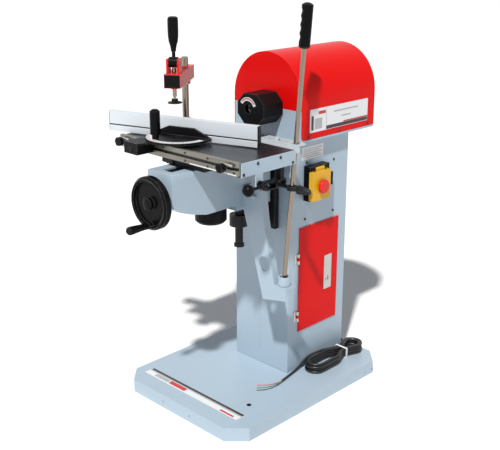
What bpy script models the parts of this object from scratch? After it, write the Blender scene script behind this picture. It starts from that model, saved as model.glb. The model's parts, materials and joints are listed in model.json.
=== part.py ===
"""Slot mortiser: a floor-standing machine with a horizontal spindle and a lever-worked cross table.

Metres, +Z up. The origin is the middle of the base on the floor, the operator stands at -Y
and faces +Y, the spindle lies along Y, and the long lever is on the +X side.
"""
import math

import bmesh
import bpy
from mathutils import Matrix, Vector

# Fits between pieces
seat_gap = 0.0003
run_gap = 0.0005
free_gap = 0.001
cut_overrun = 0.004
smooth_limit = math.radians(35)

# Base tray
base_width = 0.548
base_front = -0.392
base_back = 0.336
base_height = 0.046
base_sheet = 0.004
base_corner = 0.055
base_lip = 0.022
base_rib_width = 0.090
base_holes_x = (-0.068, 0.060)
base_holes_y = (0.239, 0.275)
base_hole_height = 0.021
base_side_hole_height = 0.015
base_hole_radius = 0.0035
plug_x = 0.176
plug_y = -0.240
plug_radius = 0.008
plug_head = 0.002
plug_stem_radius = 0.005
plug_stem_depth = 0.009

# Column, its access door and lock
column_width = 0.244
column_depth = 0.290
column_top = 0.849
column_sheet = 0.003
column_lip = 0.020
door_front = 0.0485
door_back = 0.248
door_bottom = 0.187
door_top = 0.558
door_sheet = 0.0025
door_rim = 0.0035
door_overlap = 0.012
door_gap = 0.0015
hinge_radius = 0.004
hinge_length = 0.036
hinge_pin_radius = 0.0016
hinge_leaf = 0.016
hinge_sheet = 0.0015
hinge_setback = 0.0055
hinge_low = 0.246
hinge_high = 0.453
lock_y = 0.1955
lock_z = 0.368
lock_plate_width = 0.039
lock_plate_height = 0.124
lock_plate_thick = 0.0015
lock_core_drop = 0.024
lock_core_radius = 0.0085
lock_core_proud = 0.002
lock_cam_lap = 0.006
lock_cam_width = 0.010
lock_cam_thick = 0.002

# Head: tray, hood, motor and spindle
head_front = 0.0215
head_back = 0.391
head_radius = 0.1485
head_sheet = 0.0025
hood_bottom = 0.857
hood_corner = 0.014
arch_height = 0.974
hood_front_bottom = 0.949
head_notch_radius = 0.028
tray_thick = 0.007
tray_flange = 0.026
vent_count = 6
vent_width = 0.110
vent_height = 0.007
vent_pitch = 0.020
vent_start = 0.905
spindle_height = 0.952
motor_radius = 0.078
motor_front = 0.070
motor_back = 0.290
motor_end_radius = 0.062
motor_end_length = 0.016
motor_foot_outer = 0.076
motor_foot_inner = 0.046
motor_foot_length = 0.120
terminal_width = 0.070
terminal_length = 0.095
terminal_height = 0.030
shaft_radius = 0.010
shaft_hole_gap = 0.0006
shaft_front = -0.006
shaft_back = 0.352
fan_front = 0.318
fan_hub_radius = 0.022
fan_radius = 0.060
fan_thick = 0.003
fan_blades = 6
fan_blade_depth = 0.020
fan_blade_thick = 0.003
chuck_radius = 0.0215
chuck_front = -0.054
chuck_nose = 0.014
chuck_nose_radius = 0.013
chuck_bore = 0.008
chuck_bore_depth = 0.034
chuck_collar_radius = 0.017
chuck_collar = 0.010

# Chuck guard
guard_front = -0.066
guard_width = 0.115
guard_offset = 0.0115
guard_height = 0.097
guard_chamfer = 0.029
guard_wall = 0.003
guard_hole = 0.015

# Switch
switch_front = 0.066
switch_back = 0.160
switch_bottom = 0.650
switch_top = 0.765
switch_depth = 0.0277
switch_wall = 0.003
switch_side_back = 0.190
switch_side_bottom = 0.684
switch_side_top = 0.728
switch_side_depth = 0.020
flap_front = 0.060
flap_back = 0.146
flap_bottom = 0.655
flap_top = 0.750
flap_depth = 0.018
flap_wall = 0.0025
flap_hinge_radius = 0.0045
flap_pin_radius = 0.002
flap_tab_half = 0.022
flap_hinge_drop = 0.0065
flap_hinge_out = 0.0055
flap_ear = 0.005
stop_y = 0.103
stop_z = 0.701
stop_radius = 0.0235
stop_head = 0.012
stop_stem_radius = 0.010
stop_stem_inside = 0.004
stop_travel = 0.004
stop_crown = 0.004
start_z = 0.728
start_radius = 0.009
start_proud = 0.006
start_flange = 0.002
button_gap = 0.0008

# Column slide, lift nut and lift screw
slide_front_half = 0.0455
slide_neck_half = 0.038
slide_depth = 0.062
slide_bottom = 0.560
slide_top = 0.792
slide_foot_half = 0.075
slide_foot_depth = 0.018
screw_y = -0.107
screw_radius = 0.013
screw_bottom = 0.507
screw_ring_radius = 0.017
screw_ring = 0.010
screw_gear_radius = 0.024
screw_gear_height = 0.009
nut_bottom = 0.579
nut_top = 0.6165
nut_radius = 0.031
nut_arm_half = 0.020
nut_arm_inset = 0.006

# Knee
knee_half = 0.057
knee_wall = 0.006
knee_front = -0.427
knee_back = -0.025
knee_top = 0.816
knee_low = 0.671
knee_nose_drop = 0.080
knee_nose_bulge = 0.008
knee_chin_back = -0.299
knee_chin_shares = ((0.08, 0.67), (0.22, 0.46), (0.55, 0.22))
knee_slot_front = -0.402
knee_slot_back = -0.180
knee_recess_length = 0.076
knee_recess_height = 0.010
knee_recess_depth = 0.002
carriage_half = 0.060
carriage_front = -0.176
carriage_bottom = 0.654
carriage_wall = 0.011
carriage_bore_half = 0.034
carriage_bore_top = 0.806
carriage_bridge = 0.700
carriage_bridge_thick = 0.012
pot_y = -0.230
pot_radius = 0.050
pot_bottom = 0.620
pot_wall = 0.004
pot_rounding = 0.008

# Handwheel and crank
wheel_z = 0.732
wheel_radius = 0.080
wheel_front = -0.480
wheel_depth = 0.029
wheel_rim = 0.013
wheel_web = 0.006
wheel_dish = 0.012
wheel_hub_radius = 0.019
wheel_hub_proud = 0.004
wheel_shaft_radius = 0.009
wheel_gear_radius = 0.018
wheel_gear_front = -0.147
wheel_gear_length = 0.013
wheel_bearing_radius = 0.034
wheel_bearing_length = 0.010
crank_reach = 0.066
crank_radius = 0.0105
crank_start = -0.482
crank_length = 0.070
crank_pin_radius = 0.005
crank_head = 0.002
crank_head_radius = 0.008
crank_waist_share = 0.80

# Saddle and table
saddle_half = 0.095
saddle_front = -0.340
saddle_back = -0.150
saddle_plate = 0.012
saddle_key_half = 0.020
saddle_key_front = -0.325
saddle_key_back = -0.245
saddle_key_depth = 0.005
saddle_way_width = 0.024
saddle_way_inset = 0.020
saddle_tongue_left = -0.069
saddle_tongue_right = -0.040
saddle_tongue_thick = 0.006
saddle_tongue_rise = 0.006
table_half = 0.260
table_front = -0.357
table_back = -0.135
table_top_height = 0.877
table_plate = 0.014
table_skirt = 0.010
table_height = 0.041
table_rib = 0.008
rail_depth = 0.012
rail_top_rise = 0.003
rail_upper = 0.014
rail_groove = 0.009
rail_lower = 0.015
rail_groove_depth = 0.008
rail_holes_x = (-0.052, 0.044, 0.140)
rail_hole_radius = 0.0025
rail_hole_depth = 0.004
side_plate_thick = 0.004
side_lug_front = -0.301
side_lug_back = -0.272
side_lug_bottom = 0.790
side_lug_chamfer = 0.008
rear_rail_back = -0.100
rear_rail_thick = 0.015
rear_rail_left = -0.260
rear_rail_right = 0.250
rear_slot_width = 0.012
rear_slot_depth = 0.007
rear_slot_y = -0.120
rear_slot_left = -0.250
rear_slot_right = 0.062
stud_x = 0.142
stud_y = -0.085
stud_tab_half = 0.018
stud_tab_back = -0.066
stud_radius = 0.005
stud_head_radius = 0.0095
stud_head = 0.006
plate_left = 0.088
plate_right = 0.243
plate_front = -0.108
plate_back = -0.060
plate_neck_left = 0.205
plate_thick = 0.004
plate_slot_half = 0.006
plate_slot_left = 0.096
plate_slot_right = 0.190
plate_eye = 0.012

# Rail stops
stop_left_x = -0.243
stop_right_x = 0.211
stop_block_half = 0.012
stop_block_thick = 0.006
stop_block_height = 0.026
stop_knob_radius = 0.0145
stop_knob_length = 0.014
stop_knob_stem_radius = 0.004
stop_knob_lobes = 6
stop_knob_lobe_depth = 0.0015
stop_pin_length = 0.024
stop_pin_radius = 0.0035

# Protractor, swivel, fence and fence lock
pivot_x = -0.062
pivot_y = -0.300
arm_disc_radius = 0.019
arm_left = -0.150
arm_right = -0.100
arm_thick = 0.005
hook_left = -0.160
hook_right = -0.098
hook_front = -0.432
hook_bottom = 0.850
hook_tongue = 0.006
hook_screw_radius = 0.006
swivel_radius = 0.100
swivel_thick = 0.007
swivel_slot_radius = 0.0755
swivel_slot_half = 0.0055
swivel_slot_spread = 64
swivel_slot_steps = 16
swivel_pin_radius = 0.010
web_height = 0.026
web_thick = 0.007
web_long = 0.104
web_short = 0.045
fence_angle = 17.3
fence_left = 0.268
fence_right = 0.255
fence_face = 0.021
fence_thick = 0.022
fence_wall = 0.0025
fence_height = 0.0665
fence_groove_rise = 0.018
fence_groove = 0.005
fence_groove_depth = 0.0012
handle_angle = 254
handle_radius = 0.0155
handle_length = 0.080
handle_neck_radius = 0.010
handle_neck = 0.010
handle_stud_radius = 0.004
handle_dome = 0.006

# Table lock lever on the side plate
lock_lever_y = -0.2865
lock_lever_z = 0.804
lock_hub_radius = 0.0125
lock_hub_length = 0.026
lock_arm_out = 0.020
lock_arm_length = 0.065
lock_arm_radius = 0.0045
lock_ball_radius = 0.0175
lock_stud_radius = 0.005

# Eccentric clamp
post_x = -0.232
post_radius = 0.011
post_top = 1.098
post_base_half = 0.021
post_hub_radius = 0.017
post_base_height = 0.022
post_tip = 0.003
clamp_ring_radius = 0.018
clamp_ring = 0.016
clamp_arm_bottom = 1.027
clamp_arm_height = 0.042
clamp_arm_width = 0.050
clamp_arm_wall = 0.005
clamp_arm_front = 0.193
clamp_arm_rear = 0.026
clamp_arm_swing = -53.1
clamp_boss_radius = 0.017
fork_half_length = 0.020
fork_rise = 0.044
fork_wall = 0.006
plunger_reach = 0.160
plunger_radius = 0.0065
plunger_bush_radius = 0.011
plunger_bush_drop = 0.006
plunger_ball_radius = 0.0055
plunger_neck_radius = 0.0035
plunger_neck = 0.010
foot_centre_z = 0.987
foot_radius = 0.0225
foot_bottom = 0.977
foot_thick = 0.006
foot_cup_radius = 0.010
foot_cup_top = 0.9905
foot_mouth_radius = 0.0052
cam_height = 1.098
cam_radius = 0.016
cam_press = 0.004
cam_half_width = 0.0135
cam_pin_radius = 0.005
cam_stem_radius = 0.0055
cam_stem_end = 0.062
cam_grip_radius = 0.0135
cam_grip_waist_share = 0.62
cam_grip_end = 0.139

# Hanging bracket, cup and lever
lever_x = 0.221
lever_y = -0.130
lever_z = 0.455
lever_lean = 5.84
lever_radius = 0.007
lever_grip_start = 0.712
lever_grip_end = 0.835
lever_grip_radius = 0.0165
lever_grip_shares = ((0.0, 0.58), (0.05, 0.80), (0.3, 0.90), (0.55, 0.78), (0.8, 1.0), (0.95, 0.85),
                     (1.0, 0.5))
lever_ball_radius = 0.0108
lever_yoke_gap = 0.0008
lever_tongue_radius = 0.0045
lever_tongue = 0.013
cup_radius = 0.0195
cup_top = 0.470
cup_floor = 0.003
cup_wall = 0.006
bracket_front = -0.152
bracket_sheet = 0.005
bracket_flange = 0.022
bracket_lug_back = -0.112
bracket_top = 0.733
bracket_top_right = 0.140
bracket_left_z = 0.674
bracket_waist = (0.108, 0.526)
bracket_foot = (0.151, 0.379)
bracket_toe = (0.248, 0.399)
bracket_shelf = 0.440
bracket_shoulder_x = 0.198
bracket_elbow = (0.152, 0.640)
bracket_hole_x = 0.155
bracket_hole_z = 0.499
bracket_hole_radius = 0.024
bracket_tab_back = -0.106
bracket_pin_radius = 0.006
bracket_pin_length = 0.012

# Link under the table
link_y = -0.1001
link_z = 0.747
guide_x = 0.150
guide_half = 0.013
guide_front = -0.152
guide_back = -0.062
guide_wall = 0.004
guide_hanger_half = 0.009
guide_hanger_front = -0.084
guide_hanger_back = -0.067
link_block_half = 0.008
link_flange = 0.003
link_flange_radius = 0.0115
link_radius = 0.006
link_eye_radius = 0.016
link_eye_bore = 0.0115
link_eye_height = 0.014
link_knob_start = 0.238
link_knob_end = 0.294
link_knob_radius = 0.014
link_knob_tip_radius = 0.009

# Cord: gland, lead, hank, tie, tail and bare cores
cord_radius = 0.004
gland_x = 0.060
gland_z = 0.080
gland_radius = 0.010
gland_hex_radius = 0.014
gland_hex = 0.006
gland_length = 0.022
hank_x = 0.172
hank_front = 0.091
hank_back = 0.292
hank_end_radius = 0.0218
hank_pitch = 0.0088
hank_rise = 0.0088
hank_lift = 0.0064
hank_waist_y = 0.231
hank_waist_half = 0.0024
hank_waist_pitch = 0.0098
hank_waist_reach = 0.062
hank_layers = 4
hank_layer_turns = 1.5
hank_run_shares = (0.0, 0.22, 0.44, 0.60, 0.70, 0.80)
hank_end_steps = 6
tie_width = 0.008
tie_thick = 0.0016
tie_gap = 0.0020
core_radius = 0.0012
core_stub_radius = 0.0034
core_stub = 0.003
lead_route = (
    (0.0600, 0.3123, 0.0800), (0.0600, 0.3205, 0.0800), (0.0640, 0.3262, 0.0720), (0.0780, 0.3278, 0.0590),
    (0.0980, 0.3262, 0.0520), (0.1150, 0.3180, 0.0507), (0.1255, 0.3020, 0.0507), (0.1280, 0.2800, 0.0507),
    (0.1284, 0.2520, 0.0507), (0.1300, 0.2250, 0.0512), (0.1345, 0.2050, 0.0520),
)
tail_route = (
    (0.1330, 0.1500, 0.0795), (0.1320, 0.1200, 0.0800), (0.1312, 0.0960, 0.0780), (0.1308, 0.0740, 0.0690),
    (0.1315, 0.0540, 0.0590), (0.1340, 0.0300, 0.0522), (0.1390, 0.0000, 0.0507), (0.1455, -0.0330, 0.0507),
    (0.1502, -0.0560, 0.0507),
)
core_routes = (
    ((0.1487, -0.0567, 0.0513), (0.1450, -0.0740, 0.0490), (0.1370, -0.0950, 0.0480),
     (0.1240, -0.1130, 0.0480),
     (0.1060, -0.1310, 0.0480)),
    ((0.1511, -0.0564, 0.0528), (0.1513, -0.0760, 0.0500), (0.1465, -0.1000, 0.0480),
     (0.1360, -0.1240, 0.0480),
     (0.1190, -0.1450, 0.0480)),
    ((0.1516, -0.0565, 0.0488), (0.1555, -0.0790, 0.0480), (0.1545, -0.1080, 0.0480),
     (0.1460, -0.1360, 0.0480),
     (0.1300, -0.1560, 0.0480)),
)


def clear_scene():
    for item in list(bpy.data.objects):
        bpy.data.objects.remove(item, do_unlink=True)


def look(name, colour, roughness, metallic=0.0):
    made = bpy.data.materials.get(name)
    if made:
        return made
    made = bpy.data.materials.new(name)
    made.use_nodes = True
    shader = made.node_tree.nodes["Principled BSDF"]
    shader.inputs["Base Color"].default_value = (*colour, 1.0)
    shader.inputs["Roughness"].default_value = roughness
    shader.inputs["Metallic"].default_value = metallic
    made.diffuse_color = (*colour, 1.0)
    return made


def grey_paint():
    return look("grey_paint", (0.42, 0.50, 0.56), 0.45)


def red_paint():
    return look("red_paint", (0.72, 0.02, 0.02), 0.35)


def dark_metal():
    return look("dark_metal", (0.09, 0.10, 0.11), 0.45, 0.6)


def bare_steel():
    return look("bare_steel", (0.62, 0.63, 0.64), 0.35, 1.0)


def chrome():
    return look("chrome", (0.80, 0.81, 0.82), 0.12, 1.0)


def aluminium():
    return look("aluminium", (0.78, 0.79, 0.80), 0.38, 1.0)


def black_plastic():
    return look("black_plastic", (0.02, 0.02, 0.022), 0.38)


def yellow_plastic():
    return look("yellow_plastic", (0.85, 0.72, 0.03), 0.4)


def red_plastic():
    return look("red_plastic", (0.75, 0.05, 0.03), 0.35)


def green_plastic():
    return look("green_plastic", (0.03, 0.40, 0.12), 0.35)


def pale_sheet():
    return look("pale_sheet", (0.85, 0.86, 0.87), 0.4)


def cord_rubber():
    return look("cord_rubber", (0.018, 0.018, 0.02), 0.55)


def core_insulation():
    return look("core_insulation", (0.25, 0.36, 0.24), 0.4)


def prism(outline, axis, low, high):
    """Extrude a closed outline along an axis; it is given in the other two axes, in order."""
    mesh = bmesh.new()
    rings = []
    for level in (low, high):
        ring = []
        for a, b in outline:
            place = {"X": (level, a, b), "Y": (a, level, b), "Z": (a, b, level)}[axis]
            ring.append(mesh.verts.new(place))
        rings.append(ring)
    count = len(outline)
    mesh.faces.new(rings[0])
    mesh.faces.new(list(reversed(rings[1])))
    for k in range(count):
        after = (k + 1) % count
        mesh.faces.new((rings[0][after], rings[0][k], rings[1][k], rings[1][after]))
    bmesh.ops.recalc_face_normals(mesh, faces=mesh.faces)
    return mesh


def block(x, y, z):
    return prism(((x[0], y[0]), (x[1], y[0]), (x[1], y[1]), (x[0], y[1])), "Z", z[0], z[1])


def turned(profile, axis, centre, steps=24):
    """Turn a profile of (radius, place along the axis) points; its ends are closed with discs."""
    mesh = bmesh.new()
    rings = []
    for radius, along in profile:
        ring = []
        for k in range(steps):
            angle = math.tau * k / steps
            a = radius * math.cos(angle)
            b = radius * math.sin(angle)
            place = {
                "X": (along, centre[0] + a, centre[1] + b),
                "Y": (centre[0] + a, along, centre[1] + b),
                "Z": (centre[0] + a, centre[1] + b, along),
            }[axis]
            ring.append(mesh.verts.new(place))
        rings.append(ring)
    for ring, following in zip(rings, rings[1:]):
        for k in range(steps):
            after = (k + 1) % steps
            mesh.faces.new((ring[k], ring[after], following[after], following[k]))
    mesh.faces.new(rings[0])
    mesh.faces.new(rings[-1])
    bmesh.ops.recalc_face_normals(mesh, faces=mesh.faces)
    return mesh


def rod(axis, centre, radius, low, high, steps=20):
    return turned(((radius, low), (radius, high)), axis, centre, steps)


def ball(centre, radius, segments=16, rings=10):
    mesh = bmesh.new()
    bmesh.ops.create_uvsphere(mesh, u_segments=segments, v_segments=rings, radius=radius)
    bmesh.ops.translate(mesh, vec=Vector(centre), verts=mesh.verts)
    return mesh


def moved(mesh, matrix):
    mesh.transform(matrix)
    return mesh


def guide_object(mesh, name):
    data = bpy.data.meshes.new(name)
    mesh.to_mesh(data)
    mesh.free()
    item = bpy.data.objects.new(name, data)
    item.hide_render = True
    item.display_type = "WIRE"
    bpy.context.scene.collection.objects.link(item)
    return item


def combined(mesh, others, operation):
    """Return the mesh after Boolean steps with the others, all by the exact solver."""
    body = guide_object(mesh, "body_guide")
    tools = []
    for other in others:
        tool = guide_object(other, "tool_guide")
        step = body.modifiers.new("step", "BOOLEAN")
        step.solver = "EXACT"
        step.operation = operation
        step.object = tool
        tools.append(tool)
    graph = bpy.context.evaluated_depsgraph_get()
    graph.update()
    result = bmesh.new()
    result.from_object(body, graph)
    for item in [body] + tools:
        data = item.data
        bpy.data.objects.remove(item, do_unlink=True)
        bpy.data.meshes.remove(data)
    return result


def cut(mesh, *others):
    return combined(mesh, others, "DIFFERENCE")


def fused(mesh, *others):
    return combined(mesh, others, "UNION")


def frame_at(name, location, rotation=(0.0, 0.0, 0.0)):
    item = bpy.data.objects.new(name, None)
    item.location = location
    item.rotation_euler = rotation
    bpy.context.scene.collection.objects.link(item)
    return item


def solid(name, mesh, surface, origin=(0.0, 0.0, 0.0), parent=None):
    """Make the object from a mesh in its frame's coordinates, with its origin where given."""
    bmesh.ops.remove_doubles(mesh, verts=mesh.verts, dist=0.000001)
    bmesh.ops.translate(mesh, vec=-Vector(origin), verts=mesh.verts)
    data = bpy.data.meshes.new(name)
    mesh.to_mesh(data)
    mesh.free()
    data.shade_smooth()
    data.set_sharp_from_angle(angle=smooth_limit)
    data.materials.clear()
    data.materials.append(surface)
    item = bpy.data.objects.new(name, data)
    item.location = origin
    item.parent = parent
    bpy.context.scene.collection.objects.link(item)
    return item


def chamfered(left, right, front, back, corner):
    return (
        (left + corner, front), (right - corner, front), (right, front + corner), (right, back - corner),
        (right - corner, back), (left + corner, back), (left, back - corner), (left, front + corner),
    )


def arc(centre, radius, start, end, steps):
    """Points on an arc, angles in degrees."""
    points = []
    for k in range(steps + 1):
        angle = math.radians(start + (end - start) * k / steps)
        points.append((centre[0] + radius * math.cos(angle), centre[1] + radius * math.sin(angle)))
    return points


def arc_band(centre, radius, half, start, end, steps):
    outer = arc(centre, radius + half, start, end, steps)
    inner = arc(centre, radius - half, start, end, steps)
    return outer + list(reversed(inner))


def round_slot(x, y, half, steps=8):
    """A slot along X with round ends; x holds its two end centres."""
    return arc((x[1], y), half, -90, 90, steps) + arc((x[0], y), half, 90, 270, steps)


def base_parts():
    side = base_width / 2
    inner = side - base_sheet
    front = base_front + base_sheet
    back = base_back - base_sheet
    ceiling = base_height - base_sheet
    outside = prism(chamfered(-side, side, base_front, base_back, base_corner), "Z", 0, base_height)
    hollow = prism(chamfered(-inner, inner, front, back, base_corner), "Z", base_sheet, ceiling)
    mouth_side = inner - base_lip
    mouth = prism(chamfered(-mouth_side, mouth_side, front + base_lip, back - base_lip, base_corner),
                  "Z", -cut_overrun, base_sheet + cut_overrun)
    holes = [hollow, mouth]
    for x in base_holes_x:
        holes.append(rod("Y", (x, base_hole_height), base_hole_radius, base_front - cut_overrun,
                         front + cut_overrun, 12))
    for y in base_holes_y:
        holes.append(rod("X", (y, base_side_hole_height), base_hole_radius, inner - cut_overrun,
                         side + cut_overrun, 12))
    holes.append(rod("Z", (plug_x, plug_y), plug_stem_radius + run_gap, ceiling - cut_overrun,
                     base_height + cut_overrun, 16))
    tray = cut(outside, *holes)
    rib_half = base_rib_width / 2
    rib = block((-rib_half, rib_half), (front - base_sheet / 2, back + base_sheet / 2), (0, base_sheet))
    web = block((-base_sheet / 2, base_sheet / 2), (front - base_sheet / 2, back + base_sheet / 2),
                (base_sheet / 2, ceiling + base_sheet / 2))
    solid("base_tray", fused(tray, rib, web), grey_paint())
    head = base_height + seat_gap
    plug = turned(((plug_stem_radius, head - plug_stem_depth), (plug_stem_radius, head), (plug_radius, head),
                   (plug_radius, head + plug_head / 2), (plug_stem_radius, head + plug_head)),
                  "Z", (plug_x, plug_y), 16)
    solid("base_plug", plug, black_plastic())


def column_parts():
    side = column_width / 2
    bottom = base_height + seat_gap
    shell = block((-side, side), (0, column_depth), (bottom, column_top))
    inside = side - column_sheet
    hollow = block((-inside, inside), (column_sheet, column_depth - column_sheet),
                   (bottom + column_sheet, column_top - column_sheet))
    mouth_side = inside - column_lip
    mouth = block((-mouth_side, mouth_side), (column_sheet + column_lip,
                                              column_depth - column_sheet - column_lip),
                  (bottom - cut_overrun, bottom + column_sheet + cut_overrun))
    doorway = block((inside - cut_overrun, side + cut_overrun),
                    (door_front + door_overlap, door_back - door_overlap),
                    (door_bottom + door_overlap, door_top - door_overlap))
    gland_hole = rod("Y", (gland_x, gland_z), gland_radius + run_gap,
                     column_depth - column_sheet - cut_overrun, column_depth + cut_overrun, 16)
    solid("column", cut(shell, hollow, mouth, doorway, gland_hole), grey_paint())


def door_axis():
    return (column_width / 2 + seat_gap + hinge_radius + run_gap, door_front - hinge_setback)


def hinge_parts():
    """Fixed halves of the door hinges, each a leaf with two knuckles and the pin."""
    axis = door_axis()
    wall = column_width / 2 + seat_gap
    third = hinge_length / 3
    for name, middle in (("hinge_lower", hinge_low), ("hinge_upper", hinge_high)):
        low = middle - hinge_length / 2
        high = middle + hinge_length / 2
        leaf = block((wall, wall + hinge_sheet), (axis[1] - hinge_leaf, axis[1] - hinge_radius), (low, high))
        parts = [rod("Z", axis, hinge_pin_radius, low + run_gap, high - run_gap, 10)]
        for start, end in ((low, low + third), (high - third, high)):
            parts.append(rod("Z", axis, hinge_radius, start, end, 12))
            parts.append(block((wall + run_gap / 2, axis[0]), (axis[1] - hinge_radius - hinge_sheet, axis[1]),
                               (start, end)))
        solid(name, fused(leaf, *parts), bare_steel())


def door_parts():
    axis = door_axis()
    inner_x = column_width / 2 + seat_gap
    outer_x = inner_x + door_sheet
    leaf = block((inner_x, outer_x), (door_front, door_back), (door_bottom, door_top))
    clear = door_overlap + door_gap
    rim_y = (door_front + clear, door_back - clear)
    rim_z = (door_bottom + clear, door_top - clear)
    rim = block((inner_x - door_rim, inner_x + door_sheet / 2), rim_y, rim_z)
    pocket = block((inner_x - door_rim - cut_overrun, inner_x),
                   (rim_y[0] + door_sheet, rim_y[1] - door_sheet),
                   (rim_z[0] + door_sheet, rim_z[1] - door_sheet))
    parts = [cut(rim, pocket)]
    third = hinge_length / 6 - run_gap
    for middle in (hinge_low, hinge_high):
        parts.append(rod("Z", axis, hinge_radius, middle - third, middle + third, 12))
        parts.append(block((inner_x + run_gap, inner_x + door_sheet - run_gap),
                           (axis[1], door_front + door_sheet),
                           (middle - third, middle + third)))
    core_z = lock_z - lock_core_drop
    holes = [rod("Z", axis, hinge_pin_radius + run_gap, door_bottom, door_top, 10)]
    holes.append(rod("X", (lock_y, core_z), lock_core_radius + run_gap, inner_x - door_rim - cut_overrun,
                     outer_x + cut_overrun, 16))
    door = cut(fused(leaf, *parts), *holes)
    solid("door_leaf", door, red_paint(), (axis[0], axis[1], door_bottom))
    plate = block((outer_x + seat_gap, outer_x + seat_gap + lock_plate_thick),
                  (lock_y - lock_plate_width / 2, lock_y + lock_plate_width / 2),
                  (lock_z - lock_plate_height / 2, lock_z + lock_plate_height / 2))
    hole = rod("X", (lock_y, core_z), lock_core_radius + run_gap, outer_x - cut_overrun,
               outer_x + lock_plate_thick + cut_overrun, 16)
    solid("lock_plate", cut(plate, hole), bare_steel())
    face = outer_x + seat_gap + lock_plate_thick + lock_core_proud
    cam_out = column_width / 2 - column_sheet - run_gap
    core = rod("X", (lock_y, core_z), lock_core_radius, cam_out - lock_cam_thick, face, 16)
    cam_end = core_z + (door_back - door_overlap - lock_y) + lock_cam_lap
    cam = block((cam_out - lock_cam_thick, cam_out - run_gap / 2),
                (lock_y - lock_cam_width / 2, lock_y + lock_cam_width / 2),
                (core_z, cam_end))
    key = block((face - lock_core_proud, face + cut_overrun),
                (lock_y - lock_cam_thick / 2, lock_y + lock_cam_thick / 2),
                (core_z - lock_core_radius / 2, core_z + lock_core_radius / 2))
    solid("lock_core", cut(fused(core, cam), key), bare_steel(), (face, lock_y, core_z))


def head_outline(radius, bottom):
    """Side walls up to the arch's centre and a half circle over them, as (x, z)."""
    return [(-radius, bottom), (radius, bottom)] + arc((0, arch_height), radius, 0, 180, 24)


def head_parts():
    bottom = column_top + seat_gap
    top = bottom + tray_thick
    plate = block((-head_radius, head_radius), (head_front, head_back), (bottom, top))
    side = head_radius - head_sheet - run_gap
    parts = []
    for sign in (-1, 1):
        edge = sorted((sign * side, sign * (side - head_sheet)))
        parts.append(block(edge, (head_front + head_sheet / 2, head_back - head_sheet - free_gap),
                           (top - tray_thick / 2, top + tray_flange)))
    parts.append(block((-side, side), (head_front, head_front + head_sheet),
                       (bottom + tray_thick / 2, hood_front_bottom)))
    notch = rod("Y", (0, spindle_height), head_notch_radius, head_front - cut_overrun,
                head_front + head_sheet + cut_overrun)
    solid("head_tray", cut(fused(plate, *parts), notch), grey_paint())


def hood_parts():
    outside = prism(head_outline(head_radius, hood_bottom), "Y", head_front, head_back)
    inner_radius = head_radius - head_sheet
    hollow = prism(head_outline(inner_radius, hood_bottom - cut_overrun), "Y", head_front + head_sheet,
                   head_back - head_sheet)
    side = head_radius + cut_overrun
    front_low = hood_front_bottom + seat_gap
    mouth = block((-inner_radius, inner_radius), (head_front - cut_overrun,
                                                  head_front + head_sheet + cut_overrun),
                  (hood_bottom - cut_overrun, front_low))
    notch = rod("Y", (0, spindle_height), head_notch_radius, head_front - cut_overrun,
                head_front + head_sheet + cut_overrun)
    centre = (head_front + hood_corner, hood_bottom + hood_corner)
    corner = [(head_front - cut_overrun, hood_bottom - cut_overrun), (centre[0], hood_bottom - cut_overrun)]
    corner += arc(centre, hood_corner, -90, -180, 6) + [(head_front - cut_overrun, centre[1])]
    holes = [hollow, mouth, notch, prism(corner, "X", -side, side)]
    for k in range(vent_count):
        low = vent_start + k * vent_pitch
        holes.append(block((-vent_width / 2, vent_width / 2),
                           (head_back - head_sheet - cut_overrun, head_back + cut_overrun),
                           (low, low + vent_height)))
    solid("hood", cut(outside, *holes), red_paint())


def motor_parts():
    floor = column_top + seat_gap + tray_thick + seat_gap
    centre = (0, spindle_height)
    body = turned(((motor_end_radius, motor_front - motor_end_length), (motor_end_radius, motor_front),
                   (motor_radius, motor_front), (motor_radius, motor_back), (motor_end_radius, motor_back),
                   (motor_end_radius, motor_back + motor_end_length)), "Y", centre, 28)
    middle = (motor_front + motor_back) / 2
    foot_y = (middle - motor_foot_length / 2, middle + motor_foot_length / 2)
    parts = []
    for sign in (-1, 1):
        span = sorted((sign * motor_foot_inner, sign * motor_foot_outer))
        parts.append(block(span, foot_y, (floor, spindle_height - motor_foot_inner)))
    top = spindle_height + motor_radius
    parts.append(block((-terminal_width / 2, terminal_width / 2),
                       (middle - terminal_length / 2, middle + terminal_length / 2),
                       (top - terminal_height / 2, top + terminal_height)))
    bore = rod("Y", centre, shaft_radius + shaft_hole_gap, motor_front - motor_end_length - cut_overrun,
               motor_back + motor_end_length + cut_overrun)
    solid("motor", cut(fused(body, *parts), bore), dark_metal())


def spindle_parts():
    centre = (0, spindle_height)
    shaft = rod("Y", centre, shaft_radius, shaft_front, shaft_back)
    parts = [turned(((fan_hub_radius, fan_front - fan_blade_depth / 2), (fan_hub_radius, fan_front),
                     (fan_radius, fan_front), (fan_radius, fan_front + fan_thick)), "Y", centre)]
    for k in range(fan_blades):
        angle = math.tau * k / fan_blades
        blade = block((shaft_radius / 2, fan_radius - fan_thick),
                      (fan_front + fan_thick / 2, fan_front + fan_blade_depth),
                      (-fan_blade_thick / 2, fan_blade_thick / 2))
        parts.append(moved(blade, Matrix.Translation((0, 0, spindle_height)) @ Matrix.Rotation(angle, 4,
            "Y")))
    solid("spindle_shaft", fused(shaft, *parts), bare_steel(), (0, shaft_front, spindle_height))
    back = shaft_front - seat_gap
    chuck = turned(((chuck_nose_radius, chuck_front), (chuck_radius, chuck_front + chuck_nose),
                    (chuck_radius, back - chuck_collar), (chuck_collar_radius, back - chuck_collar),
                    (chuck_collar_radius, back)), "Y", centre)
    bore = rod("Y", centre, chuck_bore, chuck_front - cut_overrun, chuck_front + chuck_bore_depth, 16)
    solid("chuck", cut(chuck, bore), bare_steel(), (0, back, spindle_height))


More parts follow.
